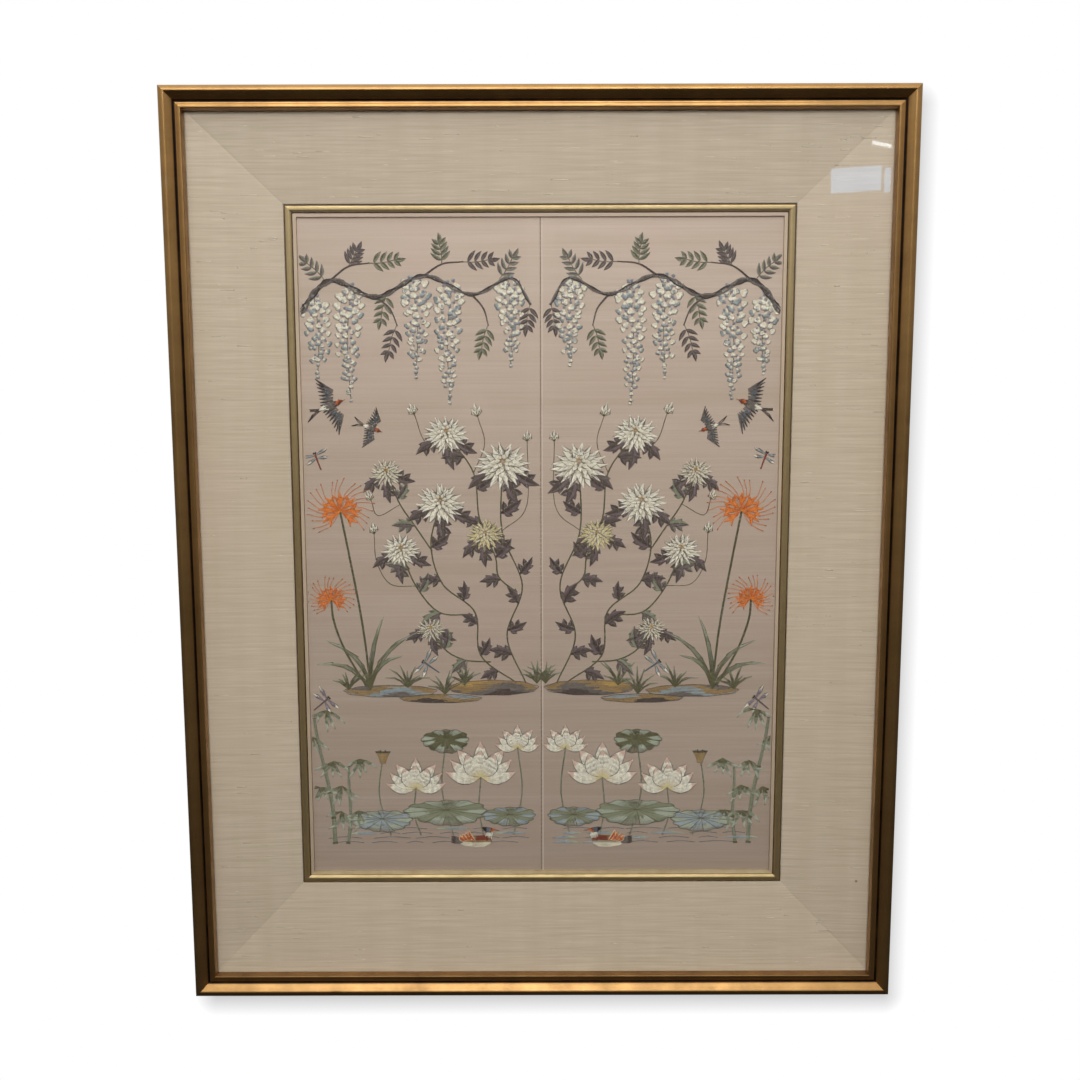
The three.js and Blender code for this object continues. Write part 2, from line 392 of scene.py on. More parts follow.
def thread_material(name, colour, shade):
    """Floss silk of one plain colour, a little lighter or darker than its skein."""
    material, tree, output = new_material(name)
    twist = noise(tree, (1500, 1500, 1500), 1)
    return principled(material, tree, output, {
        "Base Color": (*[min(1.0, c * shade) for c in linear(*colour)[:3]], 1.0),
        "Roughness": remap(tree, twist, 0.3, 0.7, 0.34, 0.5),
        "Sheen Weight": 0.3,
        "Sheen Roughness": 0.3,
    })


def glass_material():
    """Clear picture glass: its front mirrors the room for both faces, and the rest passes straight on."""
    material, tree, output = new_material("picture_glass")
    fresnel = add_node(tree, "Fresnel", {"IOR": 1.7}).outputs[0]
    inside = add_node(tree, "NewGeometry").outputs["Backfacing"]
    fresnel = math_node(tree, "MULTIPLY", fresnel, math_node(tree, "SUBTRACT", 1.0, inside))
    clear = add_node(tree, "BsdfTransparent", {"Color": (0.985, 0.995, 0.99, 1)}).outputs[0]
    mirror = add_node(tree, "BsdfGlossy", {"Color": (1, 1, 1, 1), "Roughness": 0.02}).outputs[0]
    mixed = add_node(tree, "MixShader", {0: fresnel, 1: clear, 2: mirror})
    tree.links.new(mixed.outputs[0], output.inputs["Surface"])
    return material


def board_material():
    """Plain brown board with pressed fibres."""
    material, tree, output = new_material("brown_board")
    fibre = noise(tree, (260, 260, 90), 5, 0.7)
    cloud = noise(tree, (12, 12, 12), 3)
    colour = mix(tree, remap(tree, fibre, 0.3, 0.7), linear(126, 98, 68), linear(154, 124, 88))
    colour = mix(tree, remap(tree, cloud, 0.4, 0.8, 0.0, 0.4), colour, linear(112, 86, 60))
    return principled(material, tree, output, {
        "Base Color": colour,
        "Roughness": 0.85,
        "Normal": bump(tree, fibre, 0.35, 0.2),
    })


# Gilding: the bright leaf, the leaf under its toning, and the toning where it lies thick.
RAIL_LEAF = (linear(216, 170, 108), linear(112, 78, 42), linear(16, 8, 2))
FILLET_LEAF = (linear(232, 205, 154), linear(140, 106, 62), linear(16, 10, 4))
RAIL_GILT = gilt_material("rail_gilt", *RAIL_LEAF, patch_scale=45, roughness=0.4)
FILLET_GILT = gilt_material("fillet_gilt", *FILLET_LEAF, patch_scale=70, roughness=0.5)
FILLET_SLIP = slip_material()
RAW_WOOD = raw_wood_material()
SLUB_SILK = slub_silk_material()
GROUND_SILK = ground_silk_material()
PICTURE_GLASS = glass_material()
BROWN_BOARD = board_material()

# Floss skeins, as 8-bit sRGB, and the three shades that each is sewn in.
SKEINS = {
    "ivory": (230, 223, 208),
    "cream": (218, 207, 186),
    "straw": (208, 192, 146),
    "blush": (210, 180, 166),
    "orange": (222, 128, 58),
    "amber": (196, 98, 38),
    "rust": (134, 66, 48),
    "bark": (88, 74, 68),
    "dark": (54, 46, 46),
    "mauve": (108, 92, 92),
    "stone": (118, 108, 102),
    "sage": (134, 136, 114),
    "celadon": (164, 168, 152),
    "olive": (100, 96, 70),
    "mist": (152, 160, 164),
    "slate": (96, 100, 108),
    "violet": (140, 128, 144),
    "tan": (158, 130, 90),
    "gold": (186, 152, 92),
    "slub": (211, 198, 178),
}
SHADES = (0.88, 1.0, 1.12)
THREADS = {}


def thread_index(name, shade):
    return list(SKEINS).index(name) * len(SHADES) + shade


for skein, skein_colour in SKEINS.items():
    for shade_number, shade_share in enumerate(SHADES):
        made_thread = thread_material(f"floss_{skein}_{shade_number}", skein_colour, shade_share)
        THREADS[thread_index(skein, shade_number)] = made_thread


# Meshes

def add_piece(name, points_mm, faces, materials, slots=None, sharp_deg=35):
    """A mesh object of the part, from points in millimetres as (x, v, z)."""
    places = np.array(points_mm, float) * MM
    places[:, 1] *= -1
    mesh = bpy.data.meshes.new(name)
    mesh.from_pydata(places.tolist(), [], faces)
    for material in materials:
        mesh.materials.append(material)
    if slots is not None:
        mesh.polygons.foreach_set("material_index", np.asarray(slots, np.int32))
    mesh.polygons.foreach_set("use_smooth", np.ones(len(mesh.polygons), bool))
    mesh.set_sharp_from_angle(angle=math.radians(sharp_deg))
    mesh.validate()
    piece = bpy.data.objects.new(name, mesh)
    bpy.context.scene.collection.objects.link(piece)
    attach(piece, "root")
    return piece


def section(start, *moves):
    """Outline of a strip: each move is a point for a straight line, or (control, end) for a curve."""
    points = [np.array(start, float)]
    for move in moves:
        if isinstance(move[0], tuple):
            first, control, end = points[-1], np.array(move[0]), np.array(move[1])
            for t in np.linspace(0, 1, CURVE_STEPS + 1)[1:]:
                points.append((1 - t) ** 2 * first + 2 * t * (1 - t) * control + t ** 2 * end)
        else:
            points.append(np.array(move, float))
    return np.array(points)


def strip(outline, width, outer, inner, index, step, shape=None):
    """Points and faces of one mitred strip. shape(along, u, v) gives each point's v, uneven or worn."""
    before = (index + 1) % len(SIDES)
    after = (index - 1) % len(SIDES)
    share = outline[:, 0] / width
    across = outer[:, None] + (inner - outer)[:, None] * share
    begin = MITRE_SETBACK - across[before]
    end = across[after] - MITRE_SETBACK
    rows = int((end - begin).max() / step) + 1
    run = np.linspace(0, 1, rows)[:, None]
    along = begin + (end - begin) * run
    u = np.broadcast_to(outline[:, 0], along.shape)
    v = np.broadcast_to(outline[:, 1], along.shape)
    if shape is not None:
        v = shape(along, u, v)
    reach = np.broadcast_to(across[index], along.shape)
    turns = {
        "bottom": (along, -reach),
        "left": (-reach, -along),
        "top": (-along, reach),
        "right": (reach, along),
    }
    x, z = turns[SIDES[index]]
    points = np.stack([x, v, z], axis=-1).reshape(-1, 3)
    count = len(outline)
    ring = np.arange(count)
    following = np.roll(ring, -1)
    base = np.arange(rows - 1)[:, None] * count
    quads = np.stack([base + ring, base + following, base + count + following, base + count + ring], -1)
    faces = quads.reshape(-1, 4).tolist()
    faces.append(ring[::-1].tolist())
    faces.append(((rows - 1) * count + ring).tolist())
    return points, faces, along.ravel(), u.ravel(), v.ravel()


def set_attribute(piece, name, values):
    made = piece.data.attributes.new(name, "FLOAT", "POINT")
    made.data.foreach_set("value", np.clip(values, 0, 1).astype(np.float32))


def wobble(places, size, seed):
    """A smooth uneven wave along a strip, about size high."""
    draws = np.random.default_rng(seed)
    total = np.zeros_like(places)
    for wave_length in WAVE_LENGTHS:
        total += np.sin(places * 2 * math.pi / wave_length + draws.uniform(0, 6.3)) * wave_length ** 0.5
    return total * size / 30


# Gilt rails and fillet

def rail_outline():
    bead_start = GROOVE[0] + GROOVE_WIDTH
    bevel_run = (GROOVE[0] - BEVEL[0]) / (BEVEL[1] - GROOVE[1])
    crest_u = BEVEL[0] - (RAIL_DEPTH - BEVEL[1]) * bevel_run
    bevel_middle = tuple((np.array(GROOVE) + BEVEL) / 2 + BEVEL_SWELL)
    return section(
        (0, 0),
        (RABBET_WALL_U, 0),
        (RABBET_WALL_U, LIP_V),
        (RAIL_WIDTH, LIP_V),
        (RAIL_WIDTH, BEAD_INNER_V),
        ((RAIL_WIDTH, BEAD[1]), BEAD),
        (((BEAD[0] + BEAD_SHOULDER[0]) / 2, BEAD[1]), BEAD_SHOULDER),
        ((bead_start, BEAD_SHOULDER[1]), (bead_start, GROOVE_FLOOR_V)),
        (GROOVE[0], GROOVE_FLOOR_V),
        GROOVE,
        (bevel_middle, BEVEL),
        ((crest_u, RAIL_DEPTH), (NOSE_U, RAIL_DEPTH)),
        (((NOSE_U + NOSE_EDGE[0]) / 2, RAIL_DEPTH), NOSE_EDGE),
        ((0, NOSE_SIDE_V), (0, OUTER_WALL_V)),
        *np.linspace((0, OUTER_WALL_V), (0, LIP_V), 4)[1:],
    )


def rail_tone(u, v):
    """Dark toning lies in the groove and its corners, on the outer wall and inside the bead."""
    off_groove = np.abs(u - GROOVE[0] - GROOVE_WIDTH / 2)
    groove = np.clip(2.3 - off_groove / 0.7, 0, 1)
    outer = np.where(u < 0.3, 0.9, 0.0) * np.clip((RAIL_DEPTH - v) / 3, 0, 1)
    inside = 0.45 * np.clip((u - BEAD[0] - 0.2) / 0.5, 0, 1)
    return np.maximum.reduce([groove, outer, inside, np.full_like(u, 0.2)])


def worn(side, along, u):
    """Depth and rub of the wear at each place of a rail."""
    depth, rub = np.zeros_like(u), np.zeros_like(u)
    for spot in RAIL_WEAR:
        if spot["side"] == side:
            off = ((along - spot["along"]) / spot["reach"]) ** 2 + ((u - spot["u"]) / 2.6) ** 2
            depth = depth + spot["depth"] * np.exp(-off * 1.5)
            rub = np.maximum(rub, spot["rub"] * np.exp(-off))
    return depth, rub


def add_rail(index):
    side = SIDES[index]

    def uneven(along, u, v):
        front = np.clip((v - LIP_V) / 3, 0, 1)
        return v + front * (wobble(along, RAIL_UNEVEN, index) - worn(side, along, u)[0])

    outline = rail_outline()
    points, faces, along, u, v = strip(outline, RAIL_WIDTH, RAIL_OUTER, RAIL_INNER, index, RAIL_ROW,
                                          uneven)
    hidden = np.array([points[face][:, 1].max() <= LIP_V + 0.01 and u[face].max() > 0.1 for face in faces])
    piece = add_piece(f"gilt_rail_{side}", points, faces, [RAIL_GILT, RAW_WOOD], hidden)
    set_attribute(piece, "tone", rail_tone(u, v) + wobble(along, 0.05, 40 + index))
    set_attribute(piece, "rub", worn(side, along, u)[1])
    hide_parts(f"rail_{side}")


def add_fillet(index):
    side = SIDES[index]
    outline = section(
        (0, FILLET_BACK_V),
        (FILLET_WIDTH, FILLET_BACK_V),
        (FILLET_WIDTH, FILLET_STEP_INNER_V),
        *np.linspace(FILLET_STEP, FILLET_FLANK, 7),
        (((FILLET_BEAD[0] + FILLET_FLANK[0]) / 2, FILLET_BEAD[1]), FILLET_BEAD),
        ((0, FILLET_BEAD[1]), (0, FILLET_SHOULDER_V)),
    )
    points, faces, along, u, v = strip(outline, FILLET_WIDTH, FILLET_OUTER, FILLET_INNER, index,
                                          FILLET_ROW)
    on_step = np.array([u[face].min() > FILLET_STEP[0] - 0.01 for face in faces])
    piece = add_piece(f"gold_fillet_{side}", points, faces, [FILLET_GILT, FILLET_SLIP], on_step)
    # Dark band beside the step: toning in its corner, widened on the top and sides as painted shade. The
    # fillet's outer edge is darkened as painted shade of the gap beside the liner.
    groove = 1.3 * np.exp(-((u - FILLET_STEP[0]) / FILLET_TONING_AND_SHADE[side]) ** 2)
    painted_gap_shade = 0.85 * np.clip((1.6 - u) / 0.9, 0, 1)
    tone = np.maximum.reduce([groove, painted_gap_shade, np.full_like(u, 0.1)])
    set_attribute(piece, "tone", tone + wobble(along, 0.04, 60 + index))
    set_attribute(piece, "rub", np.zeros_like(u))
    set_attribute(piece, "painted_ochre_light", np.full_like(u, SLIP_PAINTED_OCHRE_LIGHT[side]))
    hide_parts(f"fillet_{side}")


# Slubbed silk liner

def liner_slope_v(share):
    """Height of the liner's front at a share of the way from its outer edge to its inner one."""
    return LINER_OUTER_V + (LINER_INNER_V - LINER_OUTER_V) * share


def add_liner(index):
    side = SIDES[index]
    front = [(LINER_WIDTH * share, liner_slope_v(share)) for share in np.linspace(0.96, 0, 24)]
    outline = section(
        (0, LINER_BACK_V),
        (LINER_WIDTH - LINER_REBATE, LINER_BACK_V),
        (LINER_WIDTH - LINER_REBATE, FILLET_BACK_V),
        (LINER_WIDTH, FILLET_BACK_V),
        (LINER_WIDTH, LINER_INNER_V - LINER_EDGE_RADIUS),
        ((LINER_WIDTH, LINER_INNER_V), (LINER_WIDTH - LINER_EDGE_RADIUS, LINER_INNER_V)),
        *front,
    )

    def uneven(along, u, v):
        free = np.clip(u / 12, 0, 1) * (v > LINER_INNER_V - LINER_EDGE_RADIUS)
        swell = wobble(along, LINER_UNEVEN, 80 + index) * np.sin(u * 0.09 + index)
        from_end = np.minimum(along - along.min(axis=0), along.max(axis=0) - along)
        turned_over = 0.14 * np.exp(-from_end / 1.2)
        return v - free * (np.abs(swell) + turned_over)

    points, faces, *_ = strip(outline, LINER_WIDTH, LINER_OUTER, LINER_INNER, index, LINER_ROW, uneven)
    piece = add_piece(f"silk_liner_{side}", points, faces, [SLUB_SILK])
    set_attribute(piece, "strip_painted_light", np.full(len(points), LINER_PAINTED_LIGHT[side]))
    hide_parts(f"liner_{side}")


# Silk grounds

def ripple_height(x, z):
    height = np.zeros_like(x)
    for ripple in RIPPLES:
        tilt = math.radians(ripple["tilt_deg"])
        along = (x - ripple["x"]) * math.cos(tilt) + (z - ripple["z"]) * math.sin(tilt)
        off = (z - ripple["z"]) * math.cos(tilt) - (x - ripple["x"]) * math.sin(tilt)
        spread = (2 * along / ripple["length"]) ** 2 + (off / ripple["width"]) ** 2
        height = height + ripple["height"] * np.exp(-spread)
    return height


def silk_front(x, z):
    """Front of the silk: ripples that die out at the fillet, and the seam's shallow valley."""
    gap_x = FILLET_INNER[1] - np.abs(x)
    gap_z = (FILLET_INNER[0] + FILLET_INNER[2]) / 2 - np.abs(z - WINDOW_RAISE)
    fade = np.clip((np.minimum(gap_x, gap_z) - RIPPLE_FADE[0]) / (RIPPLE_FADE[1] - RIPPLE_FADE[0]), 0, 1)
    fade = fade * fade * (3 - 2 * fade)
    dip = SEAM_DIP * np.exp(-(x / SEAM_DIP_WIDTH) ** 2)
    swell = SEAM_SWELL * np.exp(-(x / SEAM_ALLOWANCE) ** 4)
    return SILK_FRONT_V + ripple_height(x, z) * fade + swell - dip


def add_silk(side):
    low, high = box_mm(f"silk_{side}")
    sign = -1 if side == "left" else 1
    near, far = sorted((abs(low[0]), abs(high[0])))
    beside_seam = np.linspace(near, near + SEAM_BAND, SEAM_COLUMNS + 1)[:-1]
    spread = np.concatenate([beside_seam, np.linspace(near + SEAM_BAND, far, SILK_COLUMNS)])
    x, z = np.meshgrid(np.sort(sign * spread), np.linspace(low[2], high[2], SILK_ROWS))
    front = np.stack([x, silk_front(x, z), z], -1).reshape(-1, 3)
    back = front - np.array([0, SILK_THICKNESS, 0])
    total = len(front)
    index = np.arange(total).reshape(x.shape)
    cells = np.stack([index[:-1, :-1], index[:-1, 1:], index[1:, 1:], index[1:, :-1]], -1).reshape(-1, 4)
    rim = np.concatenate([index[0, :-1], index[:-1, -1], index[-1, :0:-1], index[:0:-1, 0]])
    after = np.roll(rim, -1)
    edge = np.stack([rim, rim + total, after + total, after], -1)
    faces = np.concatenate([cells, cells[:, ::-1] + total, edge]).tolist()
    piece = add_piece(f"silk_ground_{side}", np.concatenate([front, back]), faces, [GROUND_SILK])
    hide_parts(f"silk_{side}")
    flat = ((far - near) * MM, float(high[2] - low[2]) * MM)
    return piece, flat


# Stitches

# Distance between two rows of stitches, width of a thread, how deep it sinks into the cloth, the
# length of a stem stitch, and how far along a leaf its stitches slant, as a share of the leaf.
PITCH = 0.62
FLOSS = 0.72
STITCH_SINK = 0.05
STEM_STITCH = 4.0
LEAF_SLANT = 0.17

# A stitch is a closed hipped ridge: two corners at its start, two at its end, and a crest's two ends.
STITCH_FACES = np.array([
    (0, 4, 5), (0, 5, 2), (1, 3, 5), (1, 5, 4),
    (0, 1, 4), (3, 2, 5),
    (0, 2, 3), (0, 3, 1),
])
STITCH_CREST = np.array([0, 0, 0, 0, 1, 1])


class Needlework:
    """Collects straight stitches between picture points, written as x + 1j * z, for one joined piece."""

    def __init__(self, name, surface=silk_front, sign=1, limit=math.inf):
        self.name = name
        self.surface = surface
        self.sign = sign
        self.limit = limit
        self.rows = []

    def add(self, start, end, thread, width=FLOSS, lift=0.1, height=0.42):
        start, end = np.broadcast_arrays(np.asarray(start, complex), np.asarray(end, complex))
        start, end = start.ravel(), end.ravel()
        shade = rng.choice(len(SHADES), len(start), p=(0.25, 0.5, 0.25))
        threads = thread_index(thread, 0) + shade
        size = np.full(len(start), width) * rng.uniform(0.85, 1.15, len(start))
        rise = np.full(len(start), lift) + rng.uniform(0, 0.06, len(start))
        self.rows.append((start, end, threads, size, rise, size * height))

    def build(self):
        columns = [np.concatenate(column) for column in zip(*self.rows)]
        within = np.maximum(columns[0].real, columns[1].real) < self.limit
        start, end, threads, size, rise, height = [column[within] for column in columns]
        if self.sign < 0:
            start, end = -start.conj(), -end.conj()
        way = end - start
        length = np.maximum(np.abs(way), 1e-6)
        side = 1j * way / length * size / 2
        bite = np.clip(size / length, 0.08, 0.3)
        crest = way * bite
        corners = [start + side, start - side, end + side, end - side, start + crest, end - crest]
        places = np.stack(corners, 1)
        x, z = places.real, places.imag
        v = self.surface(x, z) + rise[:, None] + height[:, None] * STITCH_CREST - STITCH_SINK
        points = np.stack([x, v, z], -1).reshape(-1, 3)
        base = np.arange(len(start))[:, None, None] * len(STITCH_CREST)
        faces = (base + STITCH_FACES).reshape(-1, 3)
        used, slots = np.unique(threads, return_inverse=True)
        slots = np.repeat(slots, len(STITCH_FACES))
        materials = [THREADS[int(number)] for number in used]
        piece = add_piece(self.name, points, faces.tolist(), materials, slots, sharp_deg=180)
        return piece


def curve(points, step):
    """Points about step apart along a smooth curve through a few picture points."""
    p = np.array(points, complex)
    p = np.concatenate([[2 * p[0] - p[1]], p, [2 * p[-1] - p[-2]]])
    parts = []
    for a, b, c, d in zip(p, p[1:], p[2:], p[3:]):
        t = np.linspace(0, 1, max(2, round(abs(c - b) / step)), endpoint=False)
        bend = (2 * a - 5 * b + 4 * c - d) * t ** 2 + (3 * b - a - 3 * c + d) * t ** 3
        parts.append(0.5 * (2 * b + (c - a) * t + bend))
    return np.concatenate([*parts, [p[-2]]])


def line(work, points, thread, lift, rows=1, taper=0.0, width=FLOSS):
    """Stem stitch along a curve, in rows that close up towards its end."""
    path = curve(points, STEM_STITCH)
    heading = np.gradient(path)
    normal = 1j * heading / np.maximum(np.abs(heading), 1e-6)
    along = np.linspace(0, 1, len(path))
    for row in range(rows):
        off = (row - (rows - 1) / 2) * PITCH * (1 - taper * along)
        track = path + normal * off
        ahead = track[1:] + (track[1:] - track[:-1]) * 0.3
        work.add(track[:-1], ahead, thread, width, lift + 0.08 * (rows > 2))


def lance(work, base, tip, width, threads, bow=0.0, cuts=3, lift=0.2, peak=0.5, edge=None, point=0.8):
    """A petal, feather or blade: stitches along it, swelling at peak, bent by bow, round if point is low."""
    axis = tip - base
    rows = max(2, round(width / PITCH))
    power = math.log(0.5) / math.log(peak)
    for number, s in enumerate(np.linspace(-1, 1, rows)):
        t = np.linspace(0, 1, cuts + 1)
        t[1:-1] += rng.uniform(-0.25, 0.25, cuts - 1) / cuts
        swell = np.sin(np.pi * t ** power).clip(0) ** point * s * width / 2 / abs(axis)
        track = base + axis * (t + 1j * (bow * 4 * t * (1 - t) + swell))
        for part in range(cuts):
            thread = threads[min(part * len(threads) // cuts, len(threads) - 1)]
            if edge is not None and number in (0, rows - 1):
                thread = edge
            lap = 0.2 * (track[part + 1] - track[part]) if part else 0
            work.add(track[part] - lap, track[part + 1], thread, lift=lift + 0.12 * (1 - s * s))


def fan(work, base, tip, spread_deg, inner, outer, lift, dent, edge=None):
    """A round petal: long and short stitches that spread from its base to a full edge."""
    axis = tip - base
    half = math.radians(spread_deg) / 2
    count = max(5, round(abs(axis) * 2 * half / PITCH * 0.85))
    turn = np.linspace(-half, half, count)
    rim = 1 - 0.16 * np.abs(turn / half) ** 5 - dent * np.exp(-(turn / 0.14) ** 2)
    way = axis * np.exp(1j * turn)
    split = rng.uniform(0.4, 0.62, count)
    work.add(base + way * 0.06, base + way * rim * (split + 0.08), inner, lift=lift)
    work.add(base + way * rim * split, base + way * rim, outer, lift=lift + 0.08)
    if edge is not None:
        outline = base + way * rim
        work.add(outline[:-1], outline[1:], edge, width=0.5, lift=lift + 0.2)


def leaf(work, base, tip, width, light, dark, vein, bow=0.08, lift=0.15):
    """Two halves of slanting satin stitch on either side of a rib."""
    axis = tip - base
    t = np.linspace(0.0, 0.95, max(6, round(abs(axis) / PITCH)))
    rib = base + axis * (t + 1j * bow * 4 * t * (1 - t))
    ahead = np.minimum(t + LEAF_SLANT, 1)
    swell = np.sin(np.pi * ahead ** 0.85) ** 0.9 * width / 2 / abs(axis)
    middle = ahead + 1j * bow * 4 * ahead * (1 - ahead)
    work.add(rib, base + axis * (middle + 1j * swell), light, lift=lift)
    work.add(rib, base + axis * (middle - 1j * swell), dark, lift=lift)
    work.add(rib[:-5:5], rib[5::5], vein, width=0.55, lift=lift + 0.25)


def knot(work, centre, thread, size, lift):
    """A small French knot of three crossing turns."""
    turns = np.exp(1j * math.pi * np.arange(3) / 3) * size
    work.add(centre - turns, centre + turns, thread, width=size * 1.1, lift=lift, height=0.6)


def ring_of(centre, radius, count, start_deg=0.0):
    return centre + radius * np.exp(1j * (np.arange(count) * 2 * math.pi / count + math.radians(start_deg)))


# Motifs

def flattened(way, share):
    """A direction seen aslant, with its height lessened."""
    return way.real + 1j * share * way.imag


def turned(degrees):
    return np.exp(1j * math.radians(degrees))


def twist(points, reach, turns):
    """A strand that winds along a curve."""
    path = curve(points, 6)
    heading = np.gradient(path)
    share = np.linspace(0, 1, len(path))
    wave = reach * (1 - 0.6 * share) * np.sin(2 * math.pi * turns * share)
    return path + 1j * heading / np.abs(heading) * wave


def chrysanthemum(work, centre, radius, pale, warm):
    """Rings of rounded petals seen from a little above, the inner ones over the outer ones."""
    rings = ((1.0, 17), (0.82, 15), (0.63, 12), (0.45, 9), (0.28, 6))
    for depth, (reach, count) in enumerate(rings):
        heart = centre + 0.05j * radius * depth
        for tip in ring_of(0, radius * reach, count, 13 * depth):
            way = flattened(tip * turned(rng.normal(0, 3)) * rng.uniform(0.93, 1.04), 0.86)
            lance(work, heart + way * 0.28, heart + way, radius * 0.21, (warm, pale), rng.normal(0, 0.05), 2,
                  0.15 + 0.2 * depth, 0.66, "stone", 0.55)
    for spot in ring_of(centre + 0.2j * radius, radius * 0.08, 5):
        knot(work, spot, "gold", 0.8, 1.2)


def bud(work, base, tip, pale):
    """A closed flower in its sepals."""
    way = tip - base
    for turn in (-24, 24, 0):
        lance(work, base, base + way * turned(turn) * (1 - abs(turn) / 90), abs(way) * 0.36, ("cream", pale),
              bow=turn / 300, cuts=2, lift=0.3, peak=0.55, edge="stone", point=0.6)
    for turn in (-34, 0, 34):
        sepal = base + way * 0.45 * turned(turn)
        lance(work, base, sepal, abs(way) * 0.16, ("olive", "sage"), cuts=1, lift=0.6)


def lobed_leaf(work, base, tip, light, dark):
    """A chrysanthemum leaf: side lobes under one long lobe."""
    axis = tip - base
    for share, turn, reach in ((0.16, 60, 0.4), (0.16, -60, 0.4), (0.42, 46, 0.4), (0.42, -46, 0.4)):
        root = base + axis * share
        leaf(work, root, root + axis * reach * turned(turn), abs(axis) * 0.24, light, dark, "stone", lift=0.1)
    leaf(work, base, tip, abs(axis) * 0.32, light, dark, "dark", lift=0.22)


def leafy_stem(work, points, shares, length, light, dark):
    line(work, points, "olive", rows=2, lift=0.15)
    path = curve(points, 1.5)
    heading = np.gradient(path)
    for number, share in enumerate(shares):
        spot = int(share * (len(path) - 1))
        way = heading[spot] / abs(heading[spot]) * turned(56 if number % 2 else -56)
        lobed_leaf(work, path[spot], path[spot] + way * length * rng.uniform(0.85, 1.1), light, dark)


def raceme(work, top, length, sway):
    """A hanging wisteria raceme: staggered florets that close to a point of buds."""
    path = curve([top, top - 0.5j * length + sway, top - 1j * length + sway * 0.5], 4.2)
    line(work, [path[0], path[len(path) // 2], path[-1]], "olive", lift=0.1)
    for number, place in enumerate(path):
        down = number / (len(path) - 1)
        spread = 9.6 * math.sin(min(1, 0.35 + down * 2.6) * math.pi / 2) * (1 - down) ** 0.7
        size = 7.4 - 4.2 * down
        across = (-1, 0, 1) if number % 2 else (-0.55, 0.55)
        for side in across if down < 0.85 else (0,):
            jitter = rng.normal(0, 0.9) + 1j * rng.normal(0, 1.0)
            spot = place + side * spread + jitter
            aim = turned(-90 + 46 * side + rng.normal(0, 14))
            outer = "mist" if rng.random() < 0.1 + 0.6 * down else "ivory"
            tip = spot + aim * size * rng.uniform(0.8, 1.1)
            fan(work, spot, tip, 70, "cream", outer, lift=0.25, dent=0.1, edge="stone")
            fan(work, spot, spot - aim * size * 0.45, 76, "violet", "mist", lift=0.35, dent=0)


def feathered_leaf(work, base, tip, light, dark):
    """A compound leaf: pairs of leaflets on a thin stalk."""
    axis = tip - base
    line(work, [base, base + axis * (0.5 + 0.05j), tip], "olive", lift=0.1)
    ahead = axis / abs(axis)
    for share in np.linspace(0.2, 0.95, LEAFLET_PAIRS):
        root = base + axis * share
        for turn in (50, -50):
            way = ahead * turned(turn) * LEAFLET * (1.1 - 0.4 * share)
            leaf(work, root, root + way, LEAFLET * 0.32, light, dark, "stone", bow=turn / 1200)
    leaf(work, tip, tip + ahead * LEAFLET * 0.8, LEAFLET * 0.34, light, dark, "stone")


def spider_lily(work, centre, size):
    """A ball of florets: narrow petals that curl back, and long arching stamens."""
    for number in range(7):
        aim = flattened(size * turned(-38 + 256 / 6 * number), 0.85)
        for spread, reach, bow in ((-24, 0.6, 0.22), (24, 0.6, -0.22), (0, 0.68, 0.05)):
            lance(work, centre + aim * 0.06, centre + aim * reach * turned(spread), size * 0.1,
                  ("amber", "orange", "orange"), bow, 3, 0.3, 0.55, "amber" if spread else None, 0.6)
        for spread in (-15, -4, 9):
            end = aim * turned(spread) * rng.uniform(0.95, 1.1) + 0.1j * size
            line(work, [centre, centre + end * (0.55 - 0.12j), centre + end], "orange", lift=0.6, width=0.5)
            knot(work, centre + end, "rust", 0.55, 0.5)


LOTUS_THREADS = ("straw", "cream", "ivory", "ivory", "ivory", "blush")


def lotus(work, centre, size):
    """A lotus seen from the side: back petals, spreading side petals, then cupped front ones."""
    rows = (
        {"turns": (-40, 0, 40), "reach": 1.0, "width": 0.42, "lift": 0.15, "bow": 0.0},
        {"turns": (-82, -60, 60, 82), "reach": 0.98, "width": 0.34, "lift": 0.4, "bow": 0.12},
        {"turns": (-32, 32, 0), "reach": 0.76, "width": 0.46, "lift": 0.7, "bow": 0.08},
    )
    for row in rows:
        for turn in row["turns"]:
            way = 1j * size * row["reach"] * turned(-turn)
            bow = row["bow"] * (1 if turn < 0 else -1)
            lance(work, centre, centre + way, size * row["width"], LOTUS_THREADS, bow, len(LOTUS_THREADS),
                  row["lift"], 0.46, "stone", 0.85)


def lotus_leaf(work, centre, wide, high, light, dark):
    """A round leaf seen aslant: pleats of stitches fan out to a wavy rim between its ribs."""
    ribs = 13
    count = round(math.pi * (wide + high) / PITCH * 0.7)
    turn = np.linspace(0, 2 * math.pi, count, endpoint=False)
    wave = 1 + 0.06 * np.sin(3 * turn + 0.7) + 0.045 * np.sin(ribs * turn)
    rim = centre + (wide * np.cos(turn) + 1j * high * np.sin(turn)) * wave
    heart = centre + 0.2j * high
    split = rng.uniform(0.4, 0.6, count)
    lit = np.sin(ribs * turn / 2 + 0.4) > 0
    for chosen, thread in ((lit, light), (~lit, dark)):
        middle = heart + (rim - heart) * split
        work.add(heart, (middle + (rim - heart) * 0.08)[chosen], dark, lift=0.12)
        work.add(middle[chosen], rim[chosen], thread, lift=0.2)
    for number in range(ribs):
        end = rim[number * count // ribs]
        line(work, [heart, (heart + end) / 2, end], "olive", lift=0.4, width=0.5)
    work.add(rim, np.roll(rim, -1), "olive", width=0.55, lift=0.35)


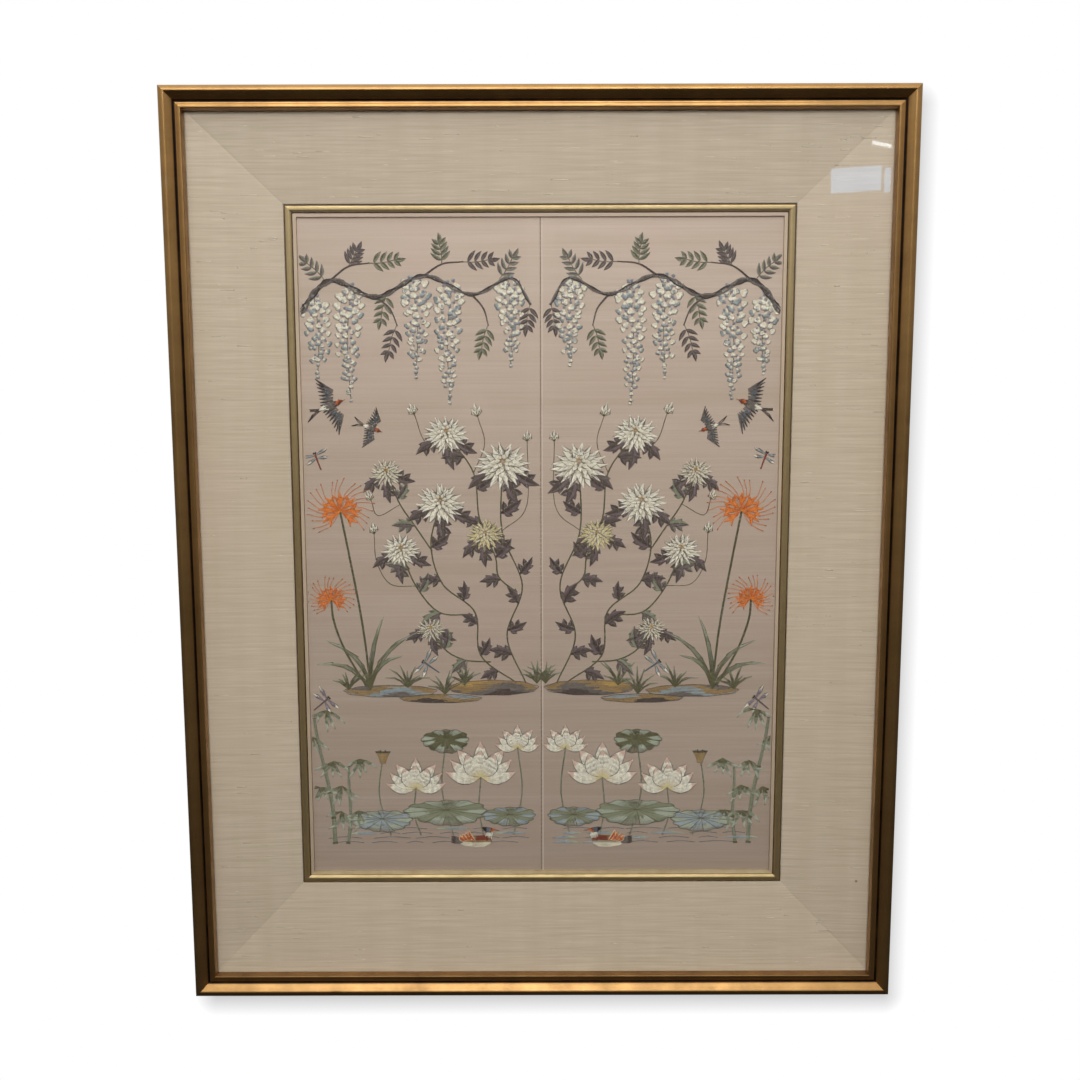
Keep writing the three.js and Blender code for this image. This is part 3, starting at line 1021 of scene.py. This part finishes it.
def seed_pod(work, centre, size):
    for row in np.linspace(0, 1, round(size / PITCH)):
        half = size * (0.25 + 0.4 * row ** 1.5)
        level = centre + 1j * size * (row - 1)
        work.add(level - half, level + half, "tan" if row < 0.85 else "olive", lift=0.2)
    for spot in ring_of(0, size * 0.4, 6):
        knot(work, centre + flattened(spot, 0.22), "bark", 0.8, 0.45)


def swallow(work, centre, size, turn_deg):
    """A swallow on the wing: long primaries fanned from each wrist, coverts, a forked tail."""
    aim = turned(turn_deg) * size
    for side in (1, -1):
        root, wrist = 0.12 + 0.06j * side, 0.3 + 0.46j * side
        for share in np.linspace(0, 1, 8):
            base = root + (wrist - root) * min(1, share * 1.5)
            tip = -0.34 + 0.2 * share + 1j * side * (0.14 + 0.92 * share ** 1.15)
            lance(work, centre + aim * base, centre + aim * tip, size * 0.105, ("bark", "dark"),
                  0.06 * side, 2, 0.2 + 0.05 * share, 0.45, "stone")
        for share in (0.0, 0.34, 0.68):
            base = root + (wrist - root) * (share + 0.3)
            tip = base + (-0.26 + 0.16j * side)
            lance(work, centre + aim * base, centre + aim * tip, size * 0.11, ("stone", "slate"), 0, 2, 0.45)
        fork = centre + aim * (-0.98 + 0.24j * side)
        lance(work, centre - aim * 0.3, fork, size * 0.075, ("bark", "dark"), 0.07 * side, 3, 0.2)
    lance(work, centre - aim * 0.45, centre + aim * 0.42, size * 0.24, ("ivory", "stone", "bark"), lift=0.55)
    lance(work, centre + aim * 0.16, centre + aim * 0.47, size * 0.16, ("amber", "rust"), cuts=2, lift=0.8)
    work.add(centre + aim * 0.45, centre + aim * 0.56, "gold", lift=0.7)


def dragonfly(work, centre, size, turn_deg, wing, body):
    aim = turned(turn_deg) * size
    for side in (1, -1):
        for back, reach in ((0.16, 0.92), (-0.04, 0.8)):
            root = centre + aim * back
            tip = root + aim * (reach * 1j * side + (0.18 if back > 0 else -0.2))
            lance(work, root, tip, size * 0.2, (wing, wing, "ivory"), lift=0.15, peak=0.66,
                  edge="stone", point=0.6)
    spine = [centre + aim * 0.25, centre - aim * 0.2, centre - aim * 0.8]
    line(work, spine, body, rows=3, taper=0.6, lift=0.4)
    for share in np.linspace(-0.1, -0.7, 6):
        work.add(centre + aim * (share + 0.03j), centre + aim * (share - 0.03j), "dark", lift=0.6, width=0.5)
    for side in (0.06j, -0.06j):
        knot(work, centre + aim * (0.32 + side), "dark", 0.9, 0.5)


def duck(work, centre, size, facing):
    """A mandarin duck afloat: barred flank, raised sail feathers, crested head."""

    def at(x, z):
        return centre + size * (facing * x + 1j * z)

    for level in np.linspace(-0.22, 0.2, round(size * 0.42 / PITCH)):
        half = 0.62 * math.sqrt(max(0.04, 1 - ((level + 0.01) / 0.27) ** 2))
        thread = "cream" if level < -0.06 else "tan"
        split = rng.uniform(-0.1, 0.1)
        work.add(at(-half, level + 0.05), at(split, level), thread, lift=0.2)
        breast = "rust" if level > 0.02 else thread
        work.add(at(split - 0.05, level), at(half, level + 0.02), breast, lift=0.24)
    for number in range(5):
        lance(work, at(-0.46, 0.07 - 0.03 * number), at(-0.88, 0.2 - 0.06 * number), size * 0.08,
              ("stone", "bark"), lift=0.35)
    for number in range(4):
        root = at(0.02 - 0.13 * number, 0.02)
        tip = at(-0.24 - 0.11 * number, 0.44 - 0.07 * number)
        lance(work, root, tip, size * 0.15, ("amber", "orange"), 0.15 * facing, 3, 0.5 + 0.05 * number,
              edge="cream")
    lance(work, at(0.42, 0.02), at(0.56, 0.5), size * 0.26, ("rust", "ivory", "ivory"),
          -0.1 * facing, lift=0.45)
    lance(work, at(0.74, 0.46), at(0.26, 0.54), size * 0.2, ("amber", "slate", "dark"),
          0.12 * facing, lift=0.7)
    lance(work, at(0.66, 0.46), at(0.9, 0.42), size * 0.08, ("rust", "amber"), cuts=1, lift=0.6)
    knot(work, at(0.62, 0.49), "dark", 0.7, 1.1)


def bamboo(work, base, top, joints, width):
    """Jointed stalk in satin stitch across it, with drooping sprays of narrow leaves."""
    axis = top - base
    count = round(abs(axis) / PITCH)
    share = np.linspace(0, 1, count)
    middle = base + axis * (share + 0.02j * np.sin(share * 5))
    half = 1j * axis / abs(axis) * width / 2 * (1 - 0.35 * share)
    at_joint = (share * joints) % 1 < 0.07
    work.add((middle - half)[~at_joint], (middle + half)[~at_joint], "sage", lift=0.2)
    work.add((middle - 1.25 * half)[at_joint], (middle + 1.25 * half)[at_joint], "olive", lift=0.3)
    for joint in range(1, joints + 1):
        root = base + axis * joint / joints
        twig = root + (-9 + 7j if joint % 2 else 7 + 6j)
        line(work, [root, (root + twig) / 2 + 1j, twig], "olive", lift=0.2)
        for turn in (-28, -58, -88, -118, -150):
            tip = twig + rng.uniform(13, 21) * turned(turn + rng.uniform(-10, 10))
            lance(work, twig, tip, 2.6, ("olive", "sage", "celadon"), rng.normal(0, 0.08), 3, 0.3, 0.4)


def water(work, centre, wide, rows):
    """Low arcs of stem stitch, broken here and there, with a few pale lenses of light."""
    for row in range(rows):
        z = centre.imag - 4.4 * row
        x = centre.real - wide / 2 + rng.uniform(0, 14)
        while x < centre.real + wide / 2 - 8:
            run = rng.uniform(12, 34)
            start = x + 1j * z
            if rng.random() < 0.3:
                lance(work, start, start + run, 2.2, ("mist", "celadon"), 0.02, 3, 0.12)
            else:
                line(work, [start, start + run / 2 + 1.3j, start + run], "slate", lift=0.12, width=0.55)
            x += run + rng.uniform(3, 12)


def bank(work, centre, wide, high, threads):
    """A low rise of ground in long level stitches, with a darker couched edge."""
    levels = np.linspace(-1, 1, round(high / PITCH))
    for level in levels:
        half = wide / 2 * math.sqrt(max(0.0, 1 - level ** 2)) * rng.uniform(0.94, 1.0)
        x = -half
        while x < half:
            run = min(rng.uniform(6, 14), half - x)
            band = math.sin(x * 0.09 + centre.real) + 1.4 * level
            thread = threads[int(np.clip((band + 2.4) / 4.8 * len(threads), 0, len(threads) - 1))]
            start = centre + x + 0.5j * high * level
            work.add(start, start + run + 0.5, thread, lift=0.12)
            x += run
    turn = np.linspace(0, 2 * math.pi, 60, endpoint=False)
    rim = centre + (wide / 2 * np.cos(turn) + 0.5j * high * np.sin(turn)) * (1 + 0.03 * np.sin(9 * turn))
    work.add(rim, np.roll(rim, -1), "bark", width=0.55, lift=0.3)


def grass(work, base, count, reach, threads):
    for turn in np.linspace(150, 30, count) + rng.normal(0, 6, count):
        tip = base + reach * rng.uniform(0.6, 1.1) * turned(turn)
        lance(work, base, tip, 1.6, threads, (90 - turn) / 400, 3, 0.15, 0.35)


# Layout of one panel, as x out from the seam and z up; the other panel mirrors it.

LEAFLET = 11
LEAFLET_PAIRS = 4
VINE = [213 + 216j, 184 + 246j, 144 + 232j, 102 + 250j, 60 + 234j, 26 + 248j, 9 + 226j]
TWIGS = [
    [184 + 246j, 168 + 258j, 150 + 261j],
    [102 + 250j, 86 + 260j, 68 + 262j],
    [144 + 232j, 132 + 222j, 126 + 208j],
    [60 + 234j, 50 + 222j, 46 + 208j],
]
RACEMES = [
    {"top": 198 + 232j, "length": 66, "sway": -3},
    {"top": 166 + 240j, "length": 96, "sway": 4},
    {"top": 112 + 248j, "length": 84, "sway": -4},
    {"top": 78 + 244j, "length": 104, "sway": 4},
    {"top": 28 + 246j, "length": 72, "sway": -3},
]
FEATHERED_LEAVES = [
    {"base": 150 + 261j, "tip": 126 + 264j, "light": "sage", "dark": "olive"},
    {"base": 68 + 262j, "tip": 44 + 264j, "light": "mauve", "dark": "bark"},
    {"base": 126 + 208j, "tip": 134 + 184j, "light": "mauve", "dark": "bark"},
    {"base": 46 + 208j, "tip": 52 + 186j, "light": "sage", "dark": "olive"},
    {"base": 188 + 246j, "tip": 205 + 262j, "light": "sage", "dark": "mauve"},
    {"base": 9 + 226j, "tip": 12 + 206j, "light": "mauve", "dark": "bark"},
    {"base": 168 + 258j, "tip": 160 + 272j, "light": "mauve", "dark": "bark"},
    {"base": 86 + 260j, "tip": 88 + 278j, "light": "sage", "dark": "olive"},
    {"base": 36 + 247j, "tip": 24 + 266j, "light": "sage", "dark": "mauve"},
    {"base": 134 + 236j, "tip": 140 + 212j, "light": "sage", "dark": "olive"},
]
FLOWERS = [
    {"stem": [98 + 8j, 114 + 32j, 126 + 50j, 138 + 78j], "radius": 15, "pale": "cream",
     "shares": (0.35, 0.7)},
    {"stem": [30 + 6j, 54 + 34j, 60 + 78j, 84 + 112j], "radius": 20, "pale": "ivory",
     "shares": (0.3, 0.55, 0.8)},
    {"stem": [14 - 114j, 31 - 70j, 17 - 24j, 35 + 26j, 34 + 84j], "radius": 25, "pale": "ivory",
     "shares": (0.14, 0.26, 0.38, 0.52, 0.66, 0.8)},
    {"stem": [62 - 50j, 92 - 48j, 113 - 24j, 126 + 8j], "radius": 18, "pale": "ivory",
     "shares": (0.3, 0.58, 0.82)},
    {"stem": [22 - 114j, 55 - 88j, 60 - 48j, 89 - 22j, 99 + 14j, 90 + 50j], "radius": 22, "pale": "ivory",
     "shares": (0.1, 0.22, 0.36, 0.5, 0.64, 0.8)},
    {"stem": [22 - 30j, 38 - 16j, 41 + 2j, 50 + 22j], "radius": 17, "pale": "straw",
     "shares": (0.3, 0.65)},
    {"stem": [46 - 94j, 70 - 92j, 88 - 82j, 100 - 64j], "radius": 13, "pale": "cream",
     "shares": (0.35, 0.7)},
]
BUDS = [
    {"stem": [60 + 78j, 50 + 104j, 56 + 128j], "reach": 12},
    {"stem": [113 - 24j, 136 - 22j, 148 - 2j, 150 + 24j], "reach": 10},
    {"stem": [35 + 26j, 13 + 48j, 12 + 106j], "reach": 10},
    {"stem": [72 + 96j, 101 + 104j, 112 + 130j], "reach": 11},
    {"stem": [126 + 50j, 146 + 40j, 152 + 54j], "reach": 9},
]
LILIES = [
    {"stem": [156 - 116j, 162 - 60j, 172 + 0j, 180 + 44j], "size": 29},
    {"stem": [160 - 116j, 178 - 84j, 188 - 56j, 190 - 36j], "size": 21},
]
LILY_ROOT = 156 - 120j
LILY_BLADES = [
    {"tip": 112 - 66j, "bow": -0.14},
    {"tip": 126 - 88j, "bow": -0.2},
    {"tip": 143 - 52j, "bow": -0.06},
    {"tip": 204 - 96j, "bow": 0.18},
    {"tip": 196 - 74j, "bow": 0.16},
]
SWALLOWS = [
    {"centre": 186 + 138j, "size": 25, "turn_deg": 158},
    {"centre": 150 + 118j, "size": 18, "turn_deg": 200},
]
DRAGONFLIES = [
    {"centre": 104 - 96j, "size": 15, "turn_deg": 35, "wing": "mist", "body": "slate"},
    {"centre": 198 - 130j, "size": 15, "turn_deg": 140, "wing": "violet", "body": "mauve"},
    {"centre": 200 + 92j, "size": 13, "turn_deg": 70, "wing": "mist", "body": "rust"},
]
BANKS = [
    {"centre": 44 - 118j, "wide": 82, "high": 14, "threads": ("bark", "stone", "tan", "gold")},
    {"centre": 138 - 121j, "wide": 84, "high": 11, "threads": ("stone", "mist", "tan", "stone")},
    {"centre": 92 - 128j, "wide": 74, "high": 8, "threads": ("bark", "tan", "mist")},
]
DUCK = {"centre": 62 - 264j, "size": 25, "facing": -1}
TUFT = {"count": 7, "reach": 24, "threads": ("olive", "sage")}
POND = {"centre": 100 - 252j, "wide": 180, "rows": 4}
SEED_POD = {"centre": 146 - 178j, "size": 11}
GRASSES = [4 - 114j, 70 - 116j, 88 - 124j, 122 - 118j, 176 - 120j]
LOTUS = [
    {"centre": 56 - 202j, "size": 33},
    {"centre": 116 - 212j, "size": 28},
    {"centre": 22 - 174j, "size": 21},
]
LOTUS_LEAVES = [
    {"centre": 88 - 236j, "wide": 37, "high": 12, "light": "celadon", "dark": "sage"},
    {"centre": 30 - 240j, "wide": 24, "high": 9, "light": "mist", "dark": "sage"},
    {"centre": 148 - 244j, "wide": 28, "high": 10, "light": "celadon", "dark": "mist"},
    {"centre": 88 - 168j, "wide": 21, "high": 11, "light": "celadon", "dark": "olive"},
]
LOTUS_STALKS = [
    [54 - 258j, 58 - 232j, 56 - 202j],
    [112 - 258j, 118 - 238j, 116 - 212j],
    [26 - 258j, 18 - 216j, 22 - 174j],
    [82 - 258j, 92 - 214j, 88 - 168j],
    [140 - 258j, 150 - 220j, 146 - 182j],
]
STALKS = [
    {"base": 192 - 266j, "top": 206 - 146j, "joints": 5, "width": 4.0},
    {"base": 180 - 266j, "top": 176 - 192j, "joints": 3, "width": 3.2},
]


def sew_wisteria(work):
    for twig in TWIGS:
        line(work, twig, "bark", rows=3, taper=0.7, lift=0.25)
    line(work, VINE, "bark", rows=7, taper=0.6, lift=0.3)
    line(work, twist(VINE, 2.4, 8), "stone", rows=3, taper=0.5, lift=0.6)
    line(work, twist(VINE, -2.4, 8), "dark", rows=2, taper=0.5, lift=0.7)
    for row in FEATHERED_LEAVES:
        feathered_leaf(work, **row)
    for row in RACEMES:
        raceme(work, **row)


def sew_chrysanthemums(work):
    for number, row in enumerate(FLOWERS):
        light, dark = ("mauve", "bark") if number % 3 else ("sage", "mauve")
        leafy_stem(work, row["stem"], row["shares"], 21, light, dark)
    for row in BUDS:
        line(work, row["stem"], "olive", lift=0.15)
        way = row["stem"][-1] - row["stem"][-2]
        bud(work, row["stem"][-1], row["stem"][-1] + way / abs(way) * row["reach"], "ivory")
    for row in FLOWERS:
        heart, radius = row["stem"][-1], row["radius"]
        for turn in rng.normal((-152, -98, -40), 8):
            base = heart + radius * 0.5 * turned(turn)
            tip = heart + (radius + 12) * turned(turn)
            lobed_leaf(work, base, tip, "mauve", "bark")
        chrysanthemum(work, heart, radius, row["pale"], "cream")


def sew_lilies(work):
    for row in LILY_BLADES:
        lance(work, LILY_ROOT, row["tip"], 3.6, ("olive", "sage", "celadon"), row["bow"], 5,
              0.15, 0.4, "olive")
    for row in LILIES:
        line(work, row["stem"], "olive", rows=3, lift=0.2)
        spider_lily(work, row["stem"][-1], row["size"])


def sew_birds(work):
    for row in SWALLOWS:
        swallow(work, **row)
    for row in DRAGONFLIES:
        dragonfly(work, **row)
    duck(work, **DUCK)


def sew_banks(work):
    for row in BANKS:
        bank(work, **row)
    for place in GRASSES:
        grass(work, place, **TUFT)


def sew_pond(work):
    water(work, **POND)
    for stalk in LOTUS_STALKS:
        line(work, stalk, "sage", rows=2, lift=0.12)
    for row in LOTUS_LEAVES:
        lotus_leaf(work, **row)
    for row in LOTUS:
        lotus(work, **row)
    seed_pod(work, **SEED_POD)


def sew_bamboo(work):
    for row in STALKS:
        bamboo(work, **row)


MOTIFS = {
    "wisteria": sew_wisteria,
    "banks": sew_banks,
    "chrysanthemums": sew_chrysanthemums,
    "lilies": sew_lilies,
    "lotus_pond": sew_pond,
    "bamboo": sew_bamboo,
    "birds": sew_birds,
}


def sew_panel(side):
    sign = -1 if side == "left" else 1
    sewn = []
    for motif, sew in MOTIFS.items():
        work = Needlework(f"stitched_{motif}_{side}", sign=sign, limit=FILLET_INNER[3] - 0.5)
        sew(work)
        sewn.append(work.build())
    return sewn


def sew_seam():
    """Small slip stitches that close the seam between the two silks."""
    work = Needlework("seam_stitches")
    low, high = box_mm("silk_left")
    places = np.arange(low[2] + 3, high[2] - 3, 4.2)
    lean = 1j * rng.normal(0, 0.25, len(places))
    work.add(1j * places - 0.9 - lean, 1j * places + 0.9 + 0.8j + lean, "blush", width=0.35, lift=0.05)
    return work.build()


def liner_front(x, z):
    """Front of the liner at a picture point, from the strip that the point lies on."""
    reach = np.stack([-z, -x, z, x])
    share = (LINER_OUTER[:, None, None] - reach) / (LINER_OUTER - LINER_INNER)[:, None, None]
    return liner_slope_v(np.clip(share.min(axis=0), 0, 1))


# Slubs: how many, how far they keep from the liner's outer and inner edges, and half their length.
SLUB_COUNT = 420
SLUB_FROM_OUTER = 5
SLUB_FROM_INNER = 4
SLUB_HALF = (0.2, 9)


def mitre_gap(place):
    """Distance across the picture from a point on the liner to the mitre of its corner."""
    level = LINER_INNER[2] if place.imag > 0 else LINER_INNER[0]
    return abs((abs(place.real) - LINER_INNER[3]) - (abs(place.imag) - level))


def add_slubs():
    """Thick places of the liner's weft, each a short raised run across the picture, cut at the mitres."""
    work = Needlework("liner_slubs", surface=liner_front)
    reach_x = LINER_OUTER[3] - SLUB_FROM_OUTER
    reach_z = LINER_OUTER[2] - SLUB_FROM_OUTER
    while len(work.rows) < SLUB_COUNT:
        middle = rng.uniform(-reach_x, reach_x) + 1j * rng.uniform(-reach_z, reach_z)
        half = min(rng.gamma(2.0, 1.8) + 1.2, SLUB_HALF[1])
        beside = abs(middle.real) - half > LINER_INNER[3] + SLUB_FROM_INNER
        above = abs(middle.imag) > LINER_INNER[2] + SLUB_FROM_INNER
        if (beside or above) and abs(middle.real) + half < reach_x:
            half = min(half, max(mitre_gap(middle), SLUB_HALF[0]))
            width = rng.uniform(0.4, 0.9)
            work.add(middle - half, middle + half, "slub", width, lift=0.0, height=0.07)
    work.build()


# The part

for strip_index in range(len(SIDES)):
    add_rail(strip_index)
    add_liner(strip_index)
    add_fillet(strip_index)

for node, finish in (("glass", PICTURE_GLASS), ("backing_board", BROWN_BOARD)):
    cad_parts[node].data.materials.clear()
    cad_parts[node].data.materials.append(finish)

seam = sew_seam()
add_slubs()
for panel_side in ("left", "right"):
    ground, cut = add_silk(panel_side)
    sewn_pieces = sew_panel(panel_side)
    if panel_side == "left":
        sewn_pieces.append(seam)


# Wall, light and camera

# The wall's distance behind the frame, in millimetres, and its reach to each side, in metres.
WALL_GAP = 1
WALL_REACH = 2

# The frame's shadow on the wall: how far it reaches past each edge, in millimetres in the order of
# SIDES, how wide it fades, and how much light is left in it.
SHADOW_PAST = (16, -10, -10, 5)
SHADOW_FADE = 21
SHADOW_LIGHT = 0.58


def shadow_strength(tree):
    """Light on the wall, by the distance from a rectangle that is the frame moved right and down."""
    down, left, up, right = RAIL_OUTER + SHADOW_PAST
    middle = ((right - left) / 2 * MM, 0, (up - down) / 2 * MM)
    half = ((right + left) / 2 * MM, 1, (up + down) / 2 * MM)
    place = add_node(tree, "TexCoord").outputs["Object"]
    moved = add_node(tree, "VectorMath", {0: place, 1: middle}, operation="SUBTRACT").outputs[0]
    folded = add_node(tree, "VectorMath", {0: moved}, operation="ABSOLUTE").outputs[0]
    past = add_node(tree, "VectorMath", {0: folded, 1: half}, operation="SUBTRACT").outputs[0]
    outside = add_node(tree, "VectorMath", {0: past, 1: (0, 0, 0)}, operation="MAXIMUM").outputs[0]
    off = add_node(tree, "VectorMath", {0: outside}, operation="LENGTH").outputs["Value"]
    return remap(tree, off, 0.0, SHADOW_FADE * MM, SHADOW_LIGHT, 1.0)


def add_wall():
    """A white wall behind the frame, with the frame's soft shadow. It can't be seen from behind."""
    mesh = bpy.data.meshes.new("wall")
    signs = ((-1, -1), (1, -1), (1, 1), (-1, 1))
    corners = [(x * WALL_REACH, WALL_GAP * MM, z * WALL_REACH) for x, z in signs]
    mesh.from_pydata(corners, [], [(0, 1, 2, 3)])
    material, tree, output = new_material("white_wall")
    glow = add_node(tree, "Emission", {"Color": (1, 1, 1, 1), "Strength": shadow_strength(tree)}).outputs[0]
    behind = add_node(tree, "NewGeometry").outputs["Backfacing"]
    clear = add_node(tree, "BsdfTransparent").outputs[0]
    mixed = add_node(tree, "MixShader", {0: behind, 1: glow, 2: clear}).outputs[0]
    tree.links.new(mixed, output.inputs["Surface"])
    mesh.materials.append(material)
    wall = bpy.data.objects.new("wall", mesh)
    wall.visible_diffuse = False
    wall.visible_glossy = False
    wall.visible_shadow = False
    bpy.context.scene.collection.objects.link(wall)


def add_area_light(name, place, target, size, power, colour, lean_deg=0.0):
    lamp = bpy.data.lights.new(name, "AREA")
    lamp.shape = "RECTANGLE"
    lamp.size, lamp.size_y = size
    lamp.energy = power
    lamp.color = colour
    holder = bpy.data.objects.new(name, lamp)
    holder.location = place
    aim = (Vector(target) - Vector(place)).to_track_quat("-Z", "Y").to_matrix()
    holder.rotation_euler = (aim @ Matrix.Rotation(math.radians(lean_deg), 3, "Z")).to_euler()
    bpy.context.scene.collection.objects.link(holder)
    return holder


def add_world():
    """White behind the part; the room round it is dim at eye level, dark below and light above."""
    world = bpy.data.worlds.new("studio")
    world.use_nodes = True
    tree = world.node_tree
    tree.nodes.clear()
    output = add_node(tree, "OutputWorld")
    seen = add_node(tree, "LightPath").outputs["Is Camera Ray"]
    way = add_node(tree, "TexCoord").outputs["Generated"]
    height = add_node(tree, "SeparateXYZ", {0: way}).outputs["Z"]
    below = remap(tree, height, -0.45, 0.0, 0.025, 0.07)
    level = remap(tree, height, 0.0, 0.3, 0.0, 0.36)
    above = remap(tree, height, 0.3, 0.9, 0.0, 0.4)
    strength = math_node(tree, "ADD", math_node(tree, "ADD", below, level), above)
    room = add_node(tree, "Background", {"Color": (1, 0.98, 0.95, 1), "Strength": strength}).outputs[0]
    white = add_node(tree, "Background", {"Color": (1, 1, 1, 1), "Strength": 1.0}).outputs[0]
    mixed = add_node(tree, "MixShader", {0: seen, 1: room, 2: white}).outputs[0]
    tree.links.new(mixed, output.inputs["Surface"])
    bpy.context.scene.world = world


def add_camera():
    lens = bpy.data.cameras.new("camera")
    lens.sensor_width = SENSOR_MM
    lens.lens = SENSOR_MM * FOCAL_PX / IMAGE_PX
    lens.clip_start = 0.01
    camera = bpy.data.objects.new("camera", lens)
    place = Vector((CAMERA_X, -(RIM_V + CAMERA_TO_RIM), CAMERA_Z)) * MM
    tilt = Matrix.Rotation(math.radians(90 - PITCH_DEG), 4, "X")
    roll = Matrix.Rotation(math.radians(ROLL_DEG), 4, "Z")
    camera.matrix_world = Matrix.Translation(place) @ tilt @ roll
    bpy.context.scene.collection.objects.link(camera)
    bpy.context.scene.camera = camera


def add_lamps():
    """A soft frontal key, an overhead lamp for the gloss of gilt and silk, and a window in the glass."""
    key = add_area_light("key", (0, -1.5, 0.55), (0, 0, 0), (0.8, 0.6), 21, (1, 0.97, 0.94))
    key.visible_glossy = False
    gloss = add_area_light("gloss", (-0.1, -1.1, 1.2), (0, 0, 0), (1.4, 0.5), 7.4, (1, 0.97, 0.94))
    gloss.visible_diffuse = False
    corner = (0.28, 0, 0.33)
    blue = (0.3, 0.62, 1)
    add_area_light("window_wide", (1.03, -2.5, 0.92), corner, (0.157, 0.076), 0.142, blue)
    add_area_light("window_narrow", (1.162, -2.5, 0.92), corner, (0.075, 0.076), 0.068, blue)
    add_area_light("window_bar", (1.118, -2.5, 1.029), corner, (0.078, 0.01), 0.019, (0.82, 0.94, 1), -16)


add_wall()
add_world()
add_lamps()
add_camera()
bpy.context.scene.view_settings.view_transform = "Standard"
